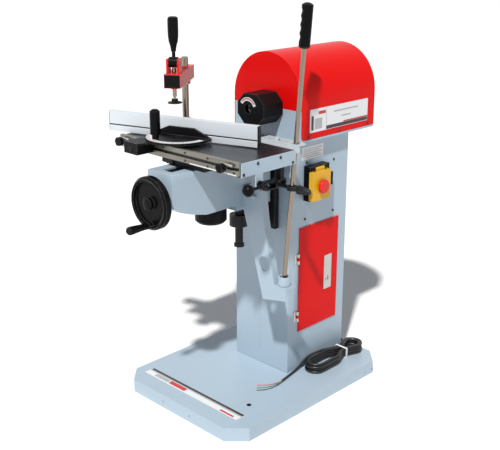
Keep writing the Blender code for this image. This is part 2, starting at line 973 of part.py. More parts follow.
def guard_outline(inset):
    half = guard_width / 2 - inset
    left = guard_offset - half
    right = guard_offset + half
    low = spindle_height - guard_height / 2 + inset
    high = spindle_height + guard_height / 2 - inset
    return chamfered(left, right, low, high, guard_chamfer - inset / 2)


def guard_parts():
    back = head_front - seat_gap
    shell = prism(guard_outline(0), "Y", guard_front, back)
    hollow = prism(guard_outline(guard_wall), "Y", guard_front + guard_wall, back + cut_overrun)
    hole = rod("Y", (0, spindle_height), guard_hole, guard_front - cut_overrun,
               guard_front + guard_wall + cut_overrun)
    solid("chuck_guard", cut(shell, hollow, hole), black_plastic())


def flap_axis():
    return (column_width / 2 + seat_gap + switch_depth + flap_hinge_out, switch_top - flap_hinge_drop)


def switch_parts():
    wall = column_width / 2 + seat_gap
    face = wall + switch_depth
    axis = flap_axis()
    base = block((wall, face), (switch_front, switch_back), (switch_bottom, switch_top))
    side = block((wall, wall + switch_side_depth), (switch_back - switch_wall, switch_side_back),
                 (switch_side_bottom, switch_side_top))
    tab = (stop_y - flap_tab_half, stop_y + flap_tab_half)
    ears = []
    for start, end in ((tab[0] - flap_ear, tab[0]), (tab[1], tab[1] + flap_ear)):
        ears.append(block((face - switch_wall, axis[0] + flap_hinge_radius), (start, end),
                          (axis[1] - flap_hinge_radius, switch_top - run_gap)))
    pin = rod("Y", axis, flap_pin_radius, tab[0] - flap_ear / 2, tab[1] + flap_ear / 2, 10)
    hollow = block((wall - cut_overrun, face - switch_wall),
                   (switch_front + switch_wall, switch_back - 2 * switch_wall),
                   (switch_bottom + switch_wall, switch_top - switch_wall))
    start_hole = rod("X", (stop_y, start_z), start_radius + button_gap, face - switch_wall - cut_overrun,
                     face + cut_overrun, 16)
    solid("switch_box", fused(cut(fused(base, side), hollow, start_hole), *ears, pin), black_plastic())
    back = face - switch_wall - run_gap
    start = turned(((start_radius, face + start_proud), (start_radius, back),
                    (start_radius + start_flange, back),
                    (start_radius + start_flange, back - start_flange)), "X", (stop_y, start_z), 16)
    solid("start_button", start, green_plastic(), (face + start_proud, stop_y, start_z))


def flap_parts():
    back = column_width / 2 + seat_gap + switch_depth + run_gap
    front = back + flap_depth
    axis = flap_axis()
    shell = block((back, front), (flap_front, flap_back), (flap_bottom, flap_top))
    hollow = block((back - cut_overrun, front - flap_wall), (flap_front + flap_wall, flap_back - flap_wall),
                   (flap_bottom + flap_wall, flap_top - flap_wall))
    hole = rod("X", (stop_y, stop_z), stop_stem_radius + button_gap, front - flap_wall - cut_overrun,
               front + cut_overrun, 16)
    half = flap_tab_half - run_gap
    barrel = rod("Y", axis, flap_hinge_radius, stop_y - half, stop_y + half, 12)
    tab = block((axis[0] - flap_wall / 2, axis[0] + flap_hinge_radius - run_gap),
                (stop_y - half, stop_y + half),
                (flap_top - flap_wall / 2, axis[1]))
    bore = rod("Y", axis, flap_pin_radius + run_gap, flap_front, flap_back, 10)
    flap = cut(fused(cut(shell, hollow, hole), barrel, tab), bore)
    solid("switch_flap", flap, yellow_plastic(), (axis[0], stop_y, axis[1]))
    seat = front + stop_travel + run_gap
    tip = seat + stop_head
    stem_end = front - flap_wall - stop_stem_inside
    stop = turned(((stop_stem_radius, stem_end), (stop_stem_radius, seat), (stop_radius, seat),
                   (stop_radius, tip - stop_crown), (stop_radius - stop_crown, tip)), "X", (stop_y, stop_z),
                   24)
    solid("stop_button", stop, red_plastic(), (tip, stop_y, stop_z))


def slide_parts():
    foot = -seat_gap
    neck = foot - slide_foot_depth
    outline = ((-slide_foot_half, foot), (-slide_foot_half, neck), (-slide_neck_half, neck),
               (-slide_front_half, -slide_depth),
               (slide_front_half, -slide_depth), (slide_neck_half, neck), (slide_foot_half, neck),
               (slide_foot_half, foot))
    solid("column_slide", prism(outline, "Z", slide_bottom, slide_top), dark_metal())
    body = rod("Z", (0, screw_y), nut_radius, nut_bottom, nut_top, 24)
    arm = block((-nut_arm_half, nut_arm_half), (screw_y, -slide_depth - seat_gap),
                (nut_bottom + nut_arm_inset, nut_top - nut_arm_inset))
    bore = rod("Z", (0, screw_y), screw_radius + run_gap, nut_bottom - cut_overrun, nut_top + cut_overrun, 20)
    solid("lift_nut", cut(fused(body, arm), bore), dark_metal())


def bridge_top():
    return carriage_bridge + carriage_bridge_thick


def screw_lift_parts():
    gear = bridge_top() + run_gap
    screw = turned(((screw_ring_radius, screw_bottom), (screw_ring_radius, screw_bottom + screw_ring),
                    (screw_radius, screw_bottom + screw_ring), (screw_radius, gear),
                    (screw_gear_radius, gear),
                    (screw_gear_radius, gear + screw_gear_height / 2),
                    (screw_gear_radius - screw_gear_height / 2, gear + screw_gear_height)), "Z", (0, screw_y),
                    20)
    solid("lift_screw", screw, bare_steel(), (0, screw_y, screw_bottom))


def knee_outline(inset):
    """Side profile of the folded box as (y, z): a bulging nose over a swept chin."""
    nose_y = knee_front - knee_nose_bulge + inset
    nose_z = knee_top - knee_nose_drop
    low = knee_low + inset
    points = [(carriage_front + inset, knee_top - inset), (knee_front + inset, knee_top - inset),
              (nose_y, nose_z)]
    for across, up in knee_chin_shares:
        points.append((nose_y + (knee_chin_back - nose_y) * across, low + (nose_z - low) * up))
    points += [(knee_chin_back, low), (carriage_front + inset, low)]
    return points


def knee_parts():
    bearing_front = knee_front - knee_nose_bulge - wheel_bearing_length
    box = prism(knee_outline(0), "X", -knee_half, knee_half)
    carriage = block((-carriage_half, carriage_half), (carriage_front - run_gap, knee_back),
                     (carriage_bottom, knee_top))
    bearing = rod("Y", (0, wheel_z), wheel_bearing_radius, bearing_front, knee_front - knee_nose_bulge / 2,
                  24)
    body = fused(box, carriage, bearing)
    hollow = prism(knee_outline(knee_wall), "X", -knee_half + knee_wall, knee_half - knee_wall)
    neck = -slide_foot_depth - seat_gap
    slope = (slide_front_half - slide_neck_half) / (slide_depth - slide_foot_depth)
    mouth_y = knee_back + cut_overrun
    mouth_half = slide_neck_half + run_gap + slope * (neck - mouth_y)
    front_half = slide_front_half + 2 * run_gap
    ways = prism(((-mouth_half, mouth_y), (-front_half, -slide_depth - run_gap),
                  (front_half, -slide_depth - run_gap),
                  (mouth_half, mouth_y)), "Z", carriage_bottom - cut_overrun, knee_top + cut_overrun)
    bore_front = carriage_front + carriage_wall
    bore = block((-carriage_bore_half, carriage_bore_half), (bore_front, -slide_depth),
                 (carriage_bottom - cut_overrun, carriage_bore_top))
    shaft = rod("Y", (0, wheel_z), wheel_shaft_radius + run_gap, bearing_front - cut_overrun,
                bore_front + cut_overrun)
    key_half = saddle_key_half + run_gap
    slot = block((-key_half, key_half), (knee_slot_front, knee_slot_back),
                 (knee_top - knee_wall - cut_overrun, knee_top + cut_overrun))
    recess = block((knee_half - knee_recess_depth, knee_half + cut_overrun),
                   (knee_front - cut_overrun, knee_front + knee_recess_length),
                   (knee_top - knee_recess_height, knee_top + cut_overrun))
    knee = cut(body, hollow, ways, bore, shaft, slot, recess)
    top = bridge_top()
    bridge = block((-carriage_bore_half - run_gap, carriage_bore_half + run_gap),
                   (bore_front - run_gap, screw_y + screw_gear_radius), (carriage_bridge, top))
    bridge = cut(bridge, rod("Z", (0, screw_y), screw_radius + run_gap, carriage_bridge - cut_overrun,
                             top + cut_overrun))
    solid("knee", fused(knee, bridge), grey_paint(), (0, carriage_front, knee_top))
    seat = knee_low - seat_gap
    pot = turned(((pot_radius - pot_rounding, pot_bottom), (pot_radius, pot_bottom + pot_rounding),
                  (pot_radius, seat)),
                 "Z", (0, pot_y), 28)
    cup = rod("Z", (0, pot_y), pot_radius - pot_wall, pot_bottom + pot_rounding, seat + cut_overrun, 28)
    solid("screw_cover", cut(pot, cup), black_plastic())


def wheel_parts():
    back = wheel_front + wheel_depth
    inner = wheel_radius - wheel_rim
    web_front = wheel_front + wheel_dish
    web_back = web_front + wheel_web
    hub_back = knee_front - knee_nose_bulge - wheel_bearing_length - run_gap
    profile = (
        (wheel_hub_radius / 2, wheel_front - wheel_hub_proud),
        (wheel_hub_radius, wheel_front - wheel_hub_proud / 2),
        (wheel_hub_radius, web_front), (inner, web_front), (inner, wheel_front + wheel_hub_proud / 2),
        (wheel_radius - wheel_rim / 2, wheel_front), (wheel_radius, wheel_front + wheel_rim / 2),
        (wheel_radius, back - wheel_rim / 3),
        (wheel_radius - wheel_rim / 3, back), (inner, back), (inner, web_back), (wheel_hub_radius, web_back),
        (wheel_hub_radius, hub_back), (wheel_shaft_radius, hub_back), (wheel_shaft_radius, wheel_gear_front),
        (wheel_gear_radius, wheel_gear_front), (wheel_gear_radius - wheel_gear_length / 2,
                                                wheel_gear_front + wheel_gear_length),
    )
    wheel = turned(profile, "Y", (0, wheel_z), 36)
    crank_z = wheel_z - crank_reach
    end = crank_start - crank_length
    pin = turned(((crank_pin_radius, web_front + wheel_web / 2), (crank_pin_radius, end - run_gap),
                  (crank_head_radius, end - run_gap), (crank_head_radius, end - run_gap - crank_head)), "Y",
                  (0, crank_z), 12)
    boss = rod("Y", (0, crank_z), crank_radius, crank_start + run_gap, web_front + wheel_web / 2, 16)
    solid("handwheel", fused(wheel, boss, pin), black_plastic(), (0, wheel_front, wheel_z))
    waist = crank_radius * crank_waist_share
    grip = turned(((waist, crank_start), (crank_radius, crank_start - crank_length / 6),
                   (waist, crank_start - crank_length / 2), (crank_radius, end + crank_length / 5),
                   (crank_radius, end + crank_length / 12), (waist, end)), "Y", (0, crank_z), 16)
    bore = rod("Y", (0, crank_z), crank_pin_radius + run_gap, end - cut_overrun, crank_start + cut_overrun,
               12)
    solid("crank_grip", cut(grip, bore), black_plastic(), (0, crank_start, crank_z))


def saddle_ways():
    """The Y spans of the two ways that the table runs on."""
    front = saddle_front + saddle_way_inset
    back = saddle_back - saddle_way_inset
    return (front, front + saddle_way_width), (back - saddle_way_width, back)


def saddle_parts():
    floor = knee_top + run_gap
    deck = floor + saddle_plate
    way_top = table_top_height - table_plate - run_gap
    plate = block((-saddle_half, saddle_half), (saddle_front, saddle_back), (floor, deck))
    parts = [block((-saddle_half, saddle_half), span,
                   (deck - saddle_plate / 2, way_top)) for span in saddle_ways()]
    parts.append(block((-saddle_key_half, saddle_key_half), (saddle_key_front, saddle_key_back),
                       (floor - saddle_key_depth, floor + saddle_plate / 2)))
    parts.append(block((saddle_tongue_left, saddle_tongue_right),
                       (saddle_front - saddle_tongue_thick, saddle_front + saddle_tongue_thick),
                       (floor + run_gap, deck + saddle_tongue_rise)))
    solid("saddle", fused(plate, *parts), dark_metal(), (0, screw_y, floor))


def table_parts():
    low = table_top_height - table_height
    under = table_top_height - table_plate
    inner_x = table_half - table_skirt
    body = block((-table_half, table_half), (table_front, table_back), (low, table_top_height))
    hollow = block((-inner_x, inner_x), (table_front + table_skirt, table_back - table_skirt),
                   (low - cut_overrun, under))
    front_way, back_way = saddle_ways()
    ribs = []
    for start in (front_way[0] - run_gap - table_rib, back_way[1] + run_gap):
        ribs.append(block((-inner_x - run_gap, inner_x + run_gap), (start, start + table_rib),
                          (low + run_gap, under + run_gap)))
    solid("table_top", fused(cut(body, hollow), *ribs), dark_metal(), (0, table_front, table_top_height))


def rail_levels():
    top = table_top_height + rail_top_rise
    groove_top = top - rail_upper
    groove_low = groove_top - rail_groove
    return top, groove_top, groove_low, groove_low - rail_lower


def rail_face():
    return table_front - seat_gap - rail_depth


def front_rail_parts():
    top, groove_top, groove_low, low = rail_levels()
    face = rail_face()
    bar = block((-table_half, table_half), (face, table_front - seat_gap), (low, top))
    holes = [block((-table_half - cut_overrun, table_half + cut_overrun),
                   (face - cut_overrun, face + rail_groove_depth),
                   (groove_low, groove_top))]
    for x in rail_holes_x:
        holes.append(rod("Y", (x, (top + groove_top) / 2), rail_hole_radius, face - cut_overrun,
                         face + rail_hole_depth, 10))
    for x in rail_holes_x[1:]:
        holes.append(rod("Y", (x, (low + groove_low) / 2), rail_hole_radius, face - cut_overrun,
                         face + rail_hole_depth, 10))
    solid("front_rail", cut(bar, *holes), aluminium())


def side_plate_parts():
    inner = table_half + seat_gap
    outer = inner + side_plate_thick
    low = table_top_height - table_height
    outline = (
        (table_front, low), (side_lug_front, low), (side_lug_front, side_lug_bottom + side_lug_chamfer),
        (side_lug_front + side_lug_chamfer, side_lug_bottom),
        (side_lug_back - side_lug_chamfer, side_lug_bottom),
        (side_lug_back, side_lug_bottom + side_lug_chamfer), (side_lug_back, low), (table_back, low),
        (table_back, table_top_height), (table_front, table_top_height),
    )
    plate = prism(outline, "X", inner, outer)
    hole = rod("X", (lock_lever_y, lock_lever_z), lock_stud_radius + run_gap, inner - cut_overrun,
               outer + cut_overrun, 16)
    solid("side_plate", cut(plate, hole), grey_paint())


def lock_lever_parts():
    plate_in = table_half + seat_gap
    plate_out = plate_in + side_plate_thick
    hub_start = plate_out + run_gap
    centre = (lock_lever_y, lock_lever_z)
    hub = turned(((lock_hub_radius, hub_start), (lock_hub_radius,
                                                 hub_start + lock_hub_length - lock_stud_radius),
                  (lock_hub_radius - lock_stud_radius, hub_start + lock_hub_length)), "X", centre, 20)
    stud = rod("X", centre, lock_stud_radius, plate_in - lock_stud_radius, hub_start + lock_stud_radius, 12)
    arm_x = plate_out + lock_arm_out
    arm = rod("Y", (arm_x, lock_lever_z), lock_arm_radius, lock_lever_y - lock_arm_length, lock_lever_y, 12)
    knob = ball((arm_x, lock_lever_y - lock_arm_length, lock_lever_z), lock_ball_radius)
    solid("lock_lever", fused(hub, stud, arm, knob), black_plastic(), (hub_start, lock_lever_y, lock_lever_z))


def rear_rail_parts():
    low = table_top_height - rear_rail_thick
    front = table_back + seat_gap
    bar = block((rear_rail_left, rear_rail_right), (front, rear_rail_back), (low, table_top_height))
    tab = block((stud_x - stud_tab_half, stud_x + stud_tab_half), (rear_rail_back - run_gap, stud_tab_back),
                (low, table_top_height))
    slot = prism(round_slot((rear_slot_left + rear_slot_width / 2, rear_slot_right - rear_slot_width / 2),
                            rear_slot_y,
                            rear_slot_width / 2), "Z", table_top_height - rear_slot_depth,
                            table_top_height + cut_overrun)
    head_low = table_top_height + seat_gap + plate_thick + seat_gap
    stud = turned(((stud_radius, low + seat_gap), (stud_radius, head_low), (stud_head_radius, head_low),
                   (stud_head_radius, head_low + stud_head)), "Z", (stud_x, stud_y), 12)
    solid("rear_rail", fused(cut(fused(bar, tab), slot), stud), aluminium())


def slot_plate_parts():
    low = table_top_height + seat_gap
    nose = plate_eye + plate_slot_half
    outline = (
        (plate_left, plate_front), (plate_neck_left, plate_front), (plate_right, stud_y - nose),
        (plate_right, stud_y + nose), (plate_neck_left, plate_back), (plate_left, plate_back),
    )
    plate = prism(outline, "Z", low, low + plate_thick)
    slot = prism(round_slot((plate_slot_left + plate_slot_half, plate_slot_right - plate_slot_half), stud_y,
                            plate_slot_half), "Z", low - cut_overrun, low + plate_thick + cut_overrun)
    eye = rod("Z", (lever_x, stud_y), plate_eye, low - cut_overrun, low + plate_thick + cut_overrun, 24)
    solid("slot_plate", cut(plate, slot, eye), aluminium(), (lever_x, stud_y, low))


def guide_parts():
    inner_low = link_z - link_block_half - run_gap
    inner_high = link_z + link_block_half + run_gap
    outer = block((guide_x - guide_half, guide_x + guide_half), (guide_front, guide_back),
                  (inner_low - guide_wall, inner_high + guide_wall))
    window = block((guide_x - guide_half - cut_overrun, guide_x + guide_half + cut_overrun),
                   (guide_front + guide_wall, guide_back - guide_wall), (inner_low, inner_high))
    hanger = block((guide_x - guide_hanger_half, guide_x + guide_hanger_half),
                   (guide_hanger_front, guide_hanger_back),
                   (inner_high + guide_wall / 2, table_top_height - rear_rail_thick - seat_gap))
    solid("link_guide", fused(cut(outer, window), hanger), dark_metal())


def link_parts():
    centre = (link_y, link_z)
    left = guide_x - guide_half - run_gap
    right = guide_x + guide_half + run_gap
    shank = rod("X", centre, link_block_half, left - link_flange, right + link_flange, 20)
    parts = [
        rod("X", centre, link_flange_radius, left - link_flange, left, 20),
        rod("X", centre, link_flange_radius, right, right + link_flange, 20),
        rod("X", centre, link_radius, right, link_knob_start + link_radius, 16),
        rod("Z", (lever_x, link_y), link_eye_radius, link_z - link_eye_height / 2,
            link_z + link_eye_height / 2, 24),
        turned(((link_radius + free_gap, link_knob_start),
                (link_knob_radius, link_knob_start + link_knob_tip_radius),
                (link_knob_radius, link_knob_start + link_knob_radius),
                (link_knob_tip_radius, link_knob_end - link_radius),
                (link_knob_tip_radius / 2, link_knob_end)), "X", centre, 20),
    ]
    bore = rod("Z", (lever_x, link_y), link_eye_bore, link_z - link_eye_height, link_z + link_eye_height, 24)
    solid("link_rod", cut(fused(shank, *parts), bore), chrome(), (right, link_y, link_z))


def stop_parts(side, x):
    top, groove_top, groove_low, low = rail_levels()
    face = rail_face()
    middle = (groove_top + groove_low) / 2
    front = face - seat_gap - stop_block_thick
    groove_end = face + rail_groove_depth
    plate = block((x - stop_block_half, x + stop_block_half), (front, face - seat_gap),
                  (middle - stop_block_height / 2, middle + stop_block_height / 2))
    tongue = block((x - stop_block_half, x + stop_block_half),
                   (front + stop_block_thick / 2, groove_end - run_gap),
                   (groove_low + run_gap, groove_top - run_gap))
    pin = rod("X", (front, middle + stop_block_height / 2 - stop_pin_radius), stop_pin_radius,
              x, x + stop_block_half + stop_pin_length, 10)
    bore = rod("Y", (x, middle), stop_knob_stem_radius + run_gap, front - stop_block_thick, groove_end, 12)
    solid("stop_block_" + side, cut(fused(plate, tongue, pin), bore), bare_steel(), (x, face, middle))
    lobes = []
    steps = stop_knob_lobes * 4
    for k in range(steps):
        angle = math.tau * k / steps
        radius = stop_knob_radius - stop_knob_lobe_depth * (1 - math.cos(stop_knob_lobes * angle)) / 2
        lobes.append((x + radius * math.cos(angle), middle + radius * math.sin(angle)))
    knob_back = front - stop_pin_radius - run_gap
    knob = prism(lobes, "Y", knob_back - stop_knob_length, knob_back)
    stem = rod("Y", (x, middle), stop_knob_stem_radius, knob_back - stop_knob_length / 2,
               face + rail_groove_depth / 2, 12)
    solid("stop_knob_" + side, fused(knob, stem), black_plastic(), (x, knob_back, middle))


def protractor_levels():
    """Bottom and top of the fixed arm, then of the swivel disc on it."""
    plate_low = rail_levels()[0] + seat_gap
    plate_high = plate_low + arm_thick
    disc_low = plate_high + seat_gap
    return plate_low, plate_high, disc_low, disc_low + swivel_thick


def protractor_parts():
    plate_low, plate_high, disc_low, disc_high = protractor_levels()
    top, groove_top, groove_low, low = rail_levels()
    face = rail_face() - seat_gap
    disc = rod("Z", (pivot_x, pivot_y), arm_disc_radius, plate_low, plate_high, 28)
    corner = arm_disc_radius * math.sqrt(0.5)
    arm = prism(((arm_left, hook_front), (arm_right, hook_front), (pivot_x + corner, pivot_y - corner),
                 (pivot_x - corner, pivot_y + corner), (arm_left, face)), "Z", plate_low, plate_high)
    hook = block((hook_left, hook_right), (hook_front, face), (hook_bottom, plate_high - run_gap))
    tongue = block((hook_left + run_gap, hook_right - run_gap), (face - hook_tongue, face + hook_tongue),
                   (groove_low + run_gap, groove_top - run_gap))
    bolt = rod("Y", ((hook_left + hook_right) / 2, (hook_bottom + plate_low) / 2), hook_screw_radius,
               hook_front - hook_tongue / 2, hook_front + hook_tongue, 12)
    pin = rod("Z", (pivot_x, pivot_y), swivel_pin_radius, plate_low + run_gap, disc_high, 20)
    solid("protractor", fused(disc, arm, hook, tongue, bolt, pin), black_plastic(),
          (pivot_x, pivot_y, plate_low))


def fence_frame(name, z):
    return frame_at(name, (pivot_x, pivot_y, z), (0.0, 0.0, math.radians(fence_angle)))


def swivel_parts():
    """The half disc with its curved slot and upright web, in the fence's own frame."""
    frame = fence_frame("swivel_frame", protractor_levels()[2])
    rear = fence_face - seat_gap
    outline = [(swivel_radius, rear), (-swivel_radius, rear)] + arc((0, 0), swivel_radius, 180, 360, 28)
    disc = prism(outline, "Z", 0, swivel_thick)
    middle = handle_angle - fence_angle
    slot = prism(arc_band((0, 0), swivel_slot_radius, swivel_slot_half, middle - swivel_slot_spread / 2,
                          middle + swivel_slot_spread / 2, swivel_slot_steps), "Z", -cut_overrun,
                          swivel_thick + cut_overrun)
    bore = rod("Z", (0, 0), swivel_pin_radius + run_gap, -cut_overrun, swivel_thick + cut_overrun)
    foot = swivel_thick - run_gap
    web = prism(((-web_long, foot), (web_long, foot), (web_short, foot + web_height),
                 (-web_short, foot + web_height)),
                "Y", rear - web_thick, rear)
    solid("swivel", fused(cut(disc, slot, bore), web), black_plastic(), parent=frame)


def fence_parts():
    bottom = protractor_levels()[0]
    frame = fence_frame("fence_frame", bottom)
    high = table_top_height + fence_height - bottom
    span = (-fence_left, fence_right)
    through = (-fence_left - cut_overrun, fence_right + cut_overrun)
    body = block(span, (fence_face, fence_face + fence_thick), (0, high))
    hollow = block(through, (fence_face + fence_wall, fence_face + fence_thick - fence_wall),
                   (fence_wall, high - fence_wall))
    groove = block(through, (fence_face - cut_overrun, fence_face + fence_groove_depth),
                   (fence_groove_rise, fence_groove_rise + fence_groove))
    solid("fence", cut(body, hollow, groove), aluminium(), parent=frame)


def handle_parts():
    disc_low, disc_high = protractor_levels()[2:]
    angle = math.radians(handle_angle)
    centre = (pivot_x + swivel_slot_radius * math.cos(angle), pivot_y + swivel_slot_radius * math.sin(angle))
    start = disc_high + seat_gap
    neck = start + handle_neck
    top = neck + handle_length
    handle = turned(((handle_stud_radius, disc_low + run_gap), (handle_stud_radius, start),
                     (handle_neck_radius, start),
                     (handle_neck_radius, neck), (handle_radius, neck + handle_dome),
                     (handle_radius, top - handle_dome),
                     (handle_radius / 2, top)), "Z", centre, 24)
    solid("fence_lock", handle, black_plastic(), (centre[0], centre[1], start))


def post_parts():
    base = table_top_height + seat_gap
    half = post_base_half
    foot = block((post_x - half, post_x + half), (rear_slot_y - half, rear_slot_y + half),
                 (base, base + post_base_height / 2))
    post = turned(((post_hub_radius, base + post_base_height / 3), (post_hub_radius, base + post_base_height),
                   (post_radius, base + post_base_height), (post_radius, post_top - post_tip),
                   (post_radius - post_tip, post_top)),
                  "Z", (post_x, rear_slot_y), 20)
    key_half = rear_slot_width / 2 - run_gap
    key = block((post_x - key_half, post_x + half - run_gap),
                (rear_slot_y - key_half, rear_slot_y + key_half),
                (table_top_height - rear_slot_depth + run_gap, base + post_base_height / 4))
    solid("clamp_post", fused(foot, post, key), chrome(), (post_x, rear_slot_y, base))


def collar_parts():
    high = clamp_arm_bottom - run_gap
    ring = rod("Z", (post_x, rear_slot_y), clamp_ring_radius, high - clamp_ring, high, 24)
    bore = rod("Z", (post_x, rear_slot_y), post_radius + run_gap, high - clamp_ring - cut_overrun,
               high + cut_overrun, 20)
    solid("clamp_collar", cut(ring, bore), bare_steel(), (post_x, rear_slot_y, high))


def swing_frame(name, z):
    return frame_at(name, (post_x, rear_slot_y, z), (0.0, 0.0, math.radians(clamp_arm_swing)))


def arm_parts():
    """The arm in its own frame: X runs from the post to the clamp's nose."""
    frame = swing_frame("clamp_arm_frame", clamp_arm_bottom)
    half = clamp_arm_width / 2
    inner = half - clamp_arm_wall
    beam = block((-clamp_arm_rear, clamp_arm_front), (-half, half), (0, clamp_arm_height))
    pocket = block((clamp_boss_radius, clamp_arm_front + cut_overrun), (-inner, inner),
                   (clamp_arm_wall, clamp_arm_height - clamp_arm_wall))
    post_hole = rod("Z", (0, 0), post_radius + run_gap, -cut_overrun, clamp_arm_height + cut_overrun, 20)
    bush = rod("Z", (plunger_reach, 0), plunger_bush_radius, -plunger_bush_drop, clamp_arm_height - run_gap,
               20)
    bore = rod("Z", (plunger_reach, 0), plunger_radius + run_gap, -plunger_bush_drop - cut_overrun,
               clamp_arm_height + cut_overrun, 16)
    beam = cut(fused(cut(beam, pocket), bush), post_hole, bore)
    axis_z = cam_height - clamp_arm_bottom
    cheeks = []
    for sign in (-1, 1):
        span = sorted((sign * (cam_half_width + run_gap), sign * (cam_half_width + run_gap + fork_wall)))
        cheek = block((plunger_reach - fork_half_length, plunger_reach + fork_half_length), span,
                      (clamp_arm_height - clamp_arm_wall / 2, clamp_arm_height + fork_rise))
        cheeks.append(cut(cheek, rod("Y", (plunger_reach, axis_z), cam_pin_radius + run_gap, -half, half,
                                     16)))
    solid("clamp_arm", fused(beam, *cheeks), red_paint(), parent=frame)


def cam_parts():
    frame = swing_frame("clamp_cam_frame", cam_height)
    disc = rod("Y", (plunger_reach, cam_press), cam_radius, -cam_half_width, cam_half_width, 28)
    pin_half = cam_half_width + run_gap + fork_wall
    pin = rod("Y", (plunger_reach, 0), cam_pin_radius, -pin_half, pin_half, 16)
    stem = rod("Z", (plunger_reach, 0), cam_stem_radius, cam_press, cam_stem_end + cam_stem_radius, 12)
    length = cam_grip_end - cam_stem_end
    waist = cam_grip_radius * cam_grip_waist_share
    grip = turned(((waist, cam_stem_end), (cam_grip_radius, cam_stem_end + length / 5),
                   (waist + cam_grip_radius / 8, cam_stem_end + length / 2),
                   (cam_grip_radius, cam_grip_end - length / 4), (cam_grip_radius, cam_grip_end - length / 8),
                   (waist, cam_grip_end)),
                  "Z", (plunger_reach, 0), 20)
    solid("clamp_cam", fused(disc, pin, stem, grip), black_plastic(), (plunger_reach, 0, 0), frame)


def plunger_parts():
    frame = swing_frame("clamp_plunger_frame", foot_centre_z)
    top = cam_height - (cam_radius - cam_press) - run_gap - foot_centre_z
    stem = turned(((plunger_neck_radius, 0), (plunger_neck_radius, plunger_neck),
                   (plunger_radius, plunger_neck),
                   (plunger_radius, top)), "Z", (plunger_reach, 0), 16)
    solid("clamp_plunger", fused(stem, ball((plunger_reach, 0, 0), plunger_ball_radius, 14, 8)), chrome(),
          (plunger_reach, 0, 0), frame)
    foot_frame = swing_frame("clamp_foot_frame", foot_centre_z)
    low = foot_bottom - foot_centre_z
    rim = foot_cup_top - foot_centre_z
    foot = turned(((foot_radius, low), (foot_radius, low + foot_thick / 2),
                   (foot_cup_radius, low + foot_thick),
                   (foot_cup_radius, rim)), "Z", (plunger_reach, 0), 24)
    mouth = rod("Z", (plunger_reach, 0), foot_mouth_radius, 0, rim + cut_overrun, 16)
    socket = ball((plunger_reach, 0, 0), plunger_ball_radius + run_gap, 16, 10)
    solid("clamp_foot", cut(foot, socket, mouth), black_plastic(), (plunger_reach, 0, 0), foot_frame)


def bracket_parts():
    """The sheet bracket hung on the knee's side, with its lug, flange and cup shelf."""
    left = carriage_half + seat_gap
    back = bracket_front + bracket_sheet
    sheet = bracket_sheet
    shoulder = (bracket_shoulder_x, bracket_shelf)
    corner = (bracket_top_right, bracket_top)
    outline = (
        (left, bracket_top), (left, bracket_left_z), bracket_waist, bracket_foot, bracket_toe,
        (bracket_toe[0], bracket_shelf), shoulder, bracket_elbow, corner,
    )
    plate = prism(outline, "Y", bracket_front, back)
    hole = rod("Y", (bracket_hole_x, bracket_hole_z), bracket_hole_radius, bracket_front - cut_overrun,
               back + cut_overrun, 28)
    lug = block((left, left + sheet), (bracket_front + run_gap, bracket_lug_back),
                (bracket_left_z + sheet, bracket_top - run_gap))
    shelf = block((bracket_shoulder_x + run_gap, bracket_toe[0] - run_gap),
                  (bracket_front + run_gap, bracket_tab_back),
                  (bracket_shelf - sheet, bracket_shelf - run_gap / 2))
    flange = (bracket_front + run_gap, back + bracket_flange)
    edge = prism((shoulder, bracket_elbow, corner, (corner[0] - sheet, corner[1]),
                  (bracket_elbow[0] - sheet, bracket_elbow[1]),
                  (shoulder[0] - sheet, shoulder[1])), "Y", flange[0], flange[1])
    pin = rod("Y", (bracket_top_right - 2 * bracket_pin_length, bracket_top - 2 * bracket_pin_length),
              bracket_pin_radius,
              bracket_front - bracket_pin_length, back - run_gap, 12)
    solid("lever_bracket", fused(cut(plate, hole), lug, shelf, edge, pin), grey_paint())
    base = bracket_shelf + seat_gap
    cup = rod("Z", (lever_x, lever_y), cup_radius, base, cup_top, 28)
    bowl = rod("Z", (lever_x, lever_y), cup_radius - cup_wall, base + cup_floor, cup_top + cut_overrun, 28)
    solid("lever_cup", cut(cup, bowl), pale_sheet())


def lever_parts():
    """The slotted ball in the cup and the lever standing in it, in the leaning frame of the lever."""
    frame = frame_at("lever_frame", (lever_x, lever_y, lever_z), (-math.radians(lever_lean), 0.0, 0.0))
    gap_half = lever_tongue_radius + lever_yoke_gap
    wide = lever_ball_radius + cut_overrun
    slot = block((-wide, wide), (-gap_half, gap_half), (-gap_half, wide))
    solid("lever_ball", cut(ball((0, 0, 0), lever_ball_radius, 20, 12), slot), black_plastic(), parent=frame)
    stem = turned(((lever_tongue_radius, 0), (lever_tongue_radius, lever_tongue),
                   (lever_radius, lever_tongue),
                   (lever_radius, lever_grip_start + lever_radius)), "Z", (0, 0), 16)
    heel = rod("Y", (0, 0), lever_tongue_radius - free_gap / 4, -lever_tongue_radius, lever_tongue_radius, 16)
    solid("lever_rod", fused(stem, heel), chrome(), parent=frame)
    length = lever_grip_end - lever_grip_start
    grip = turned([(lever_grip_radius * across, lever_grip_start + length * along) for along,
                   across in lever_grip_shares], "Z", (0, 0), 24)
    socket = rod("Z", (0, 0), lever_radius + seat_gap, lever_grip_start - cut_overrun,
                 lever_grip_start + lever_radius + seat_gap, 16)
    solid("lever_grip", cut(grip, socket), black_plastic(), parent=frame)


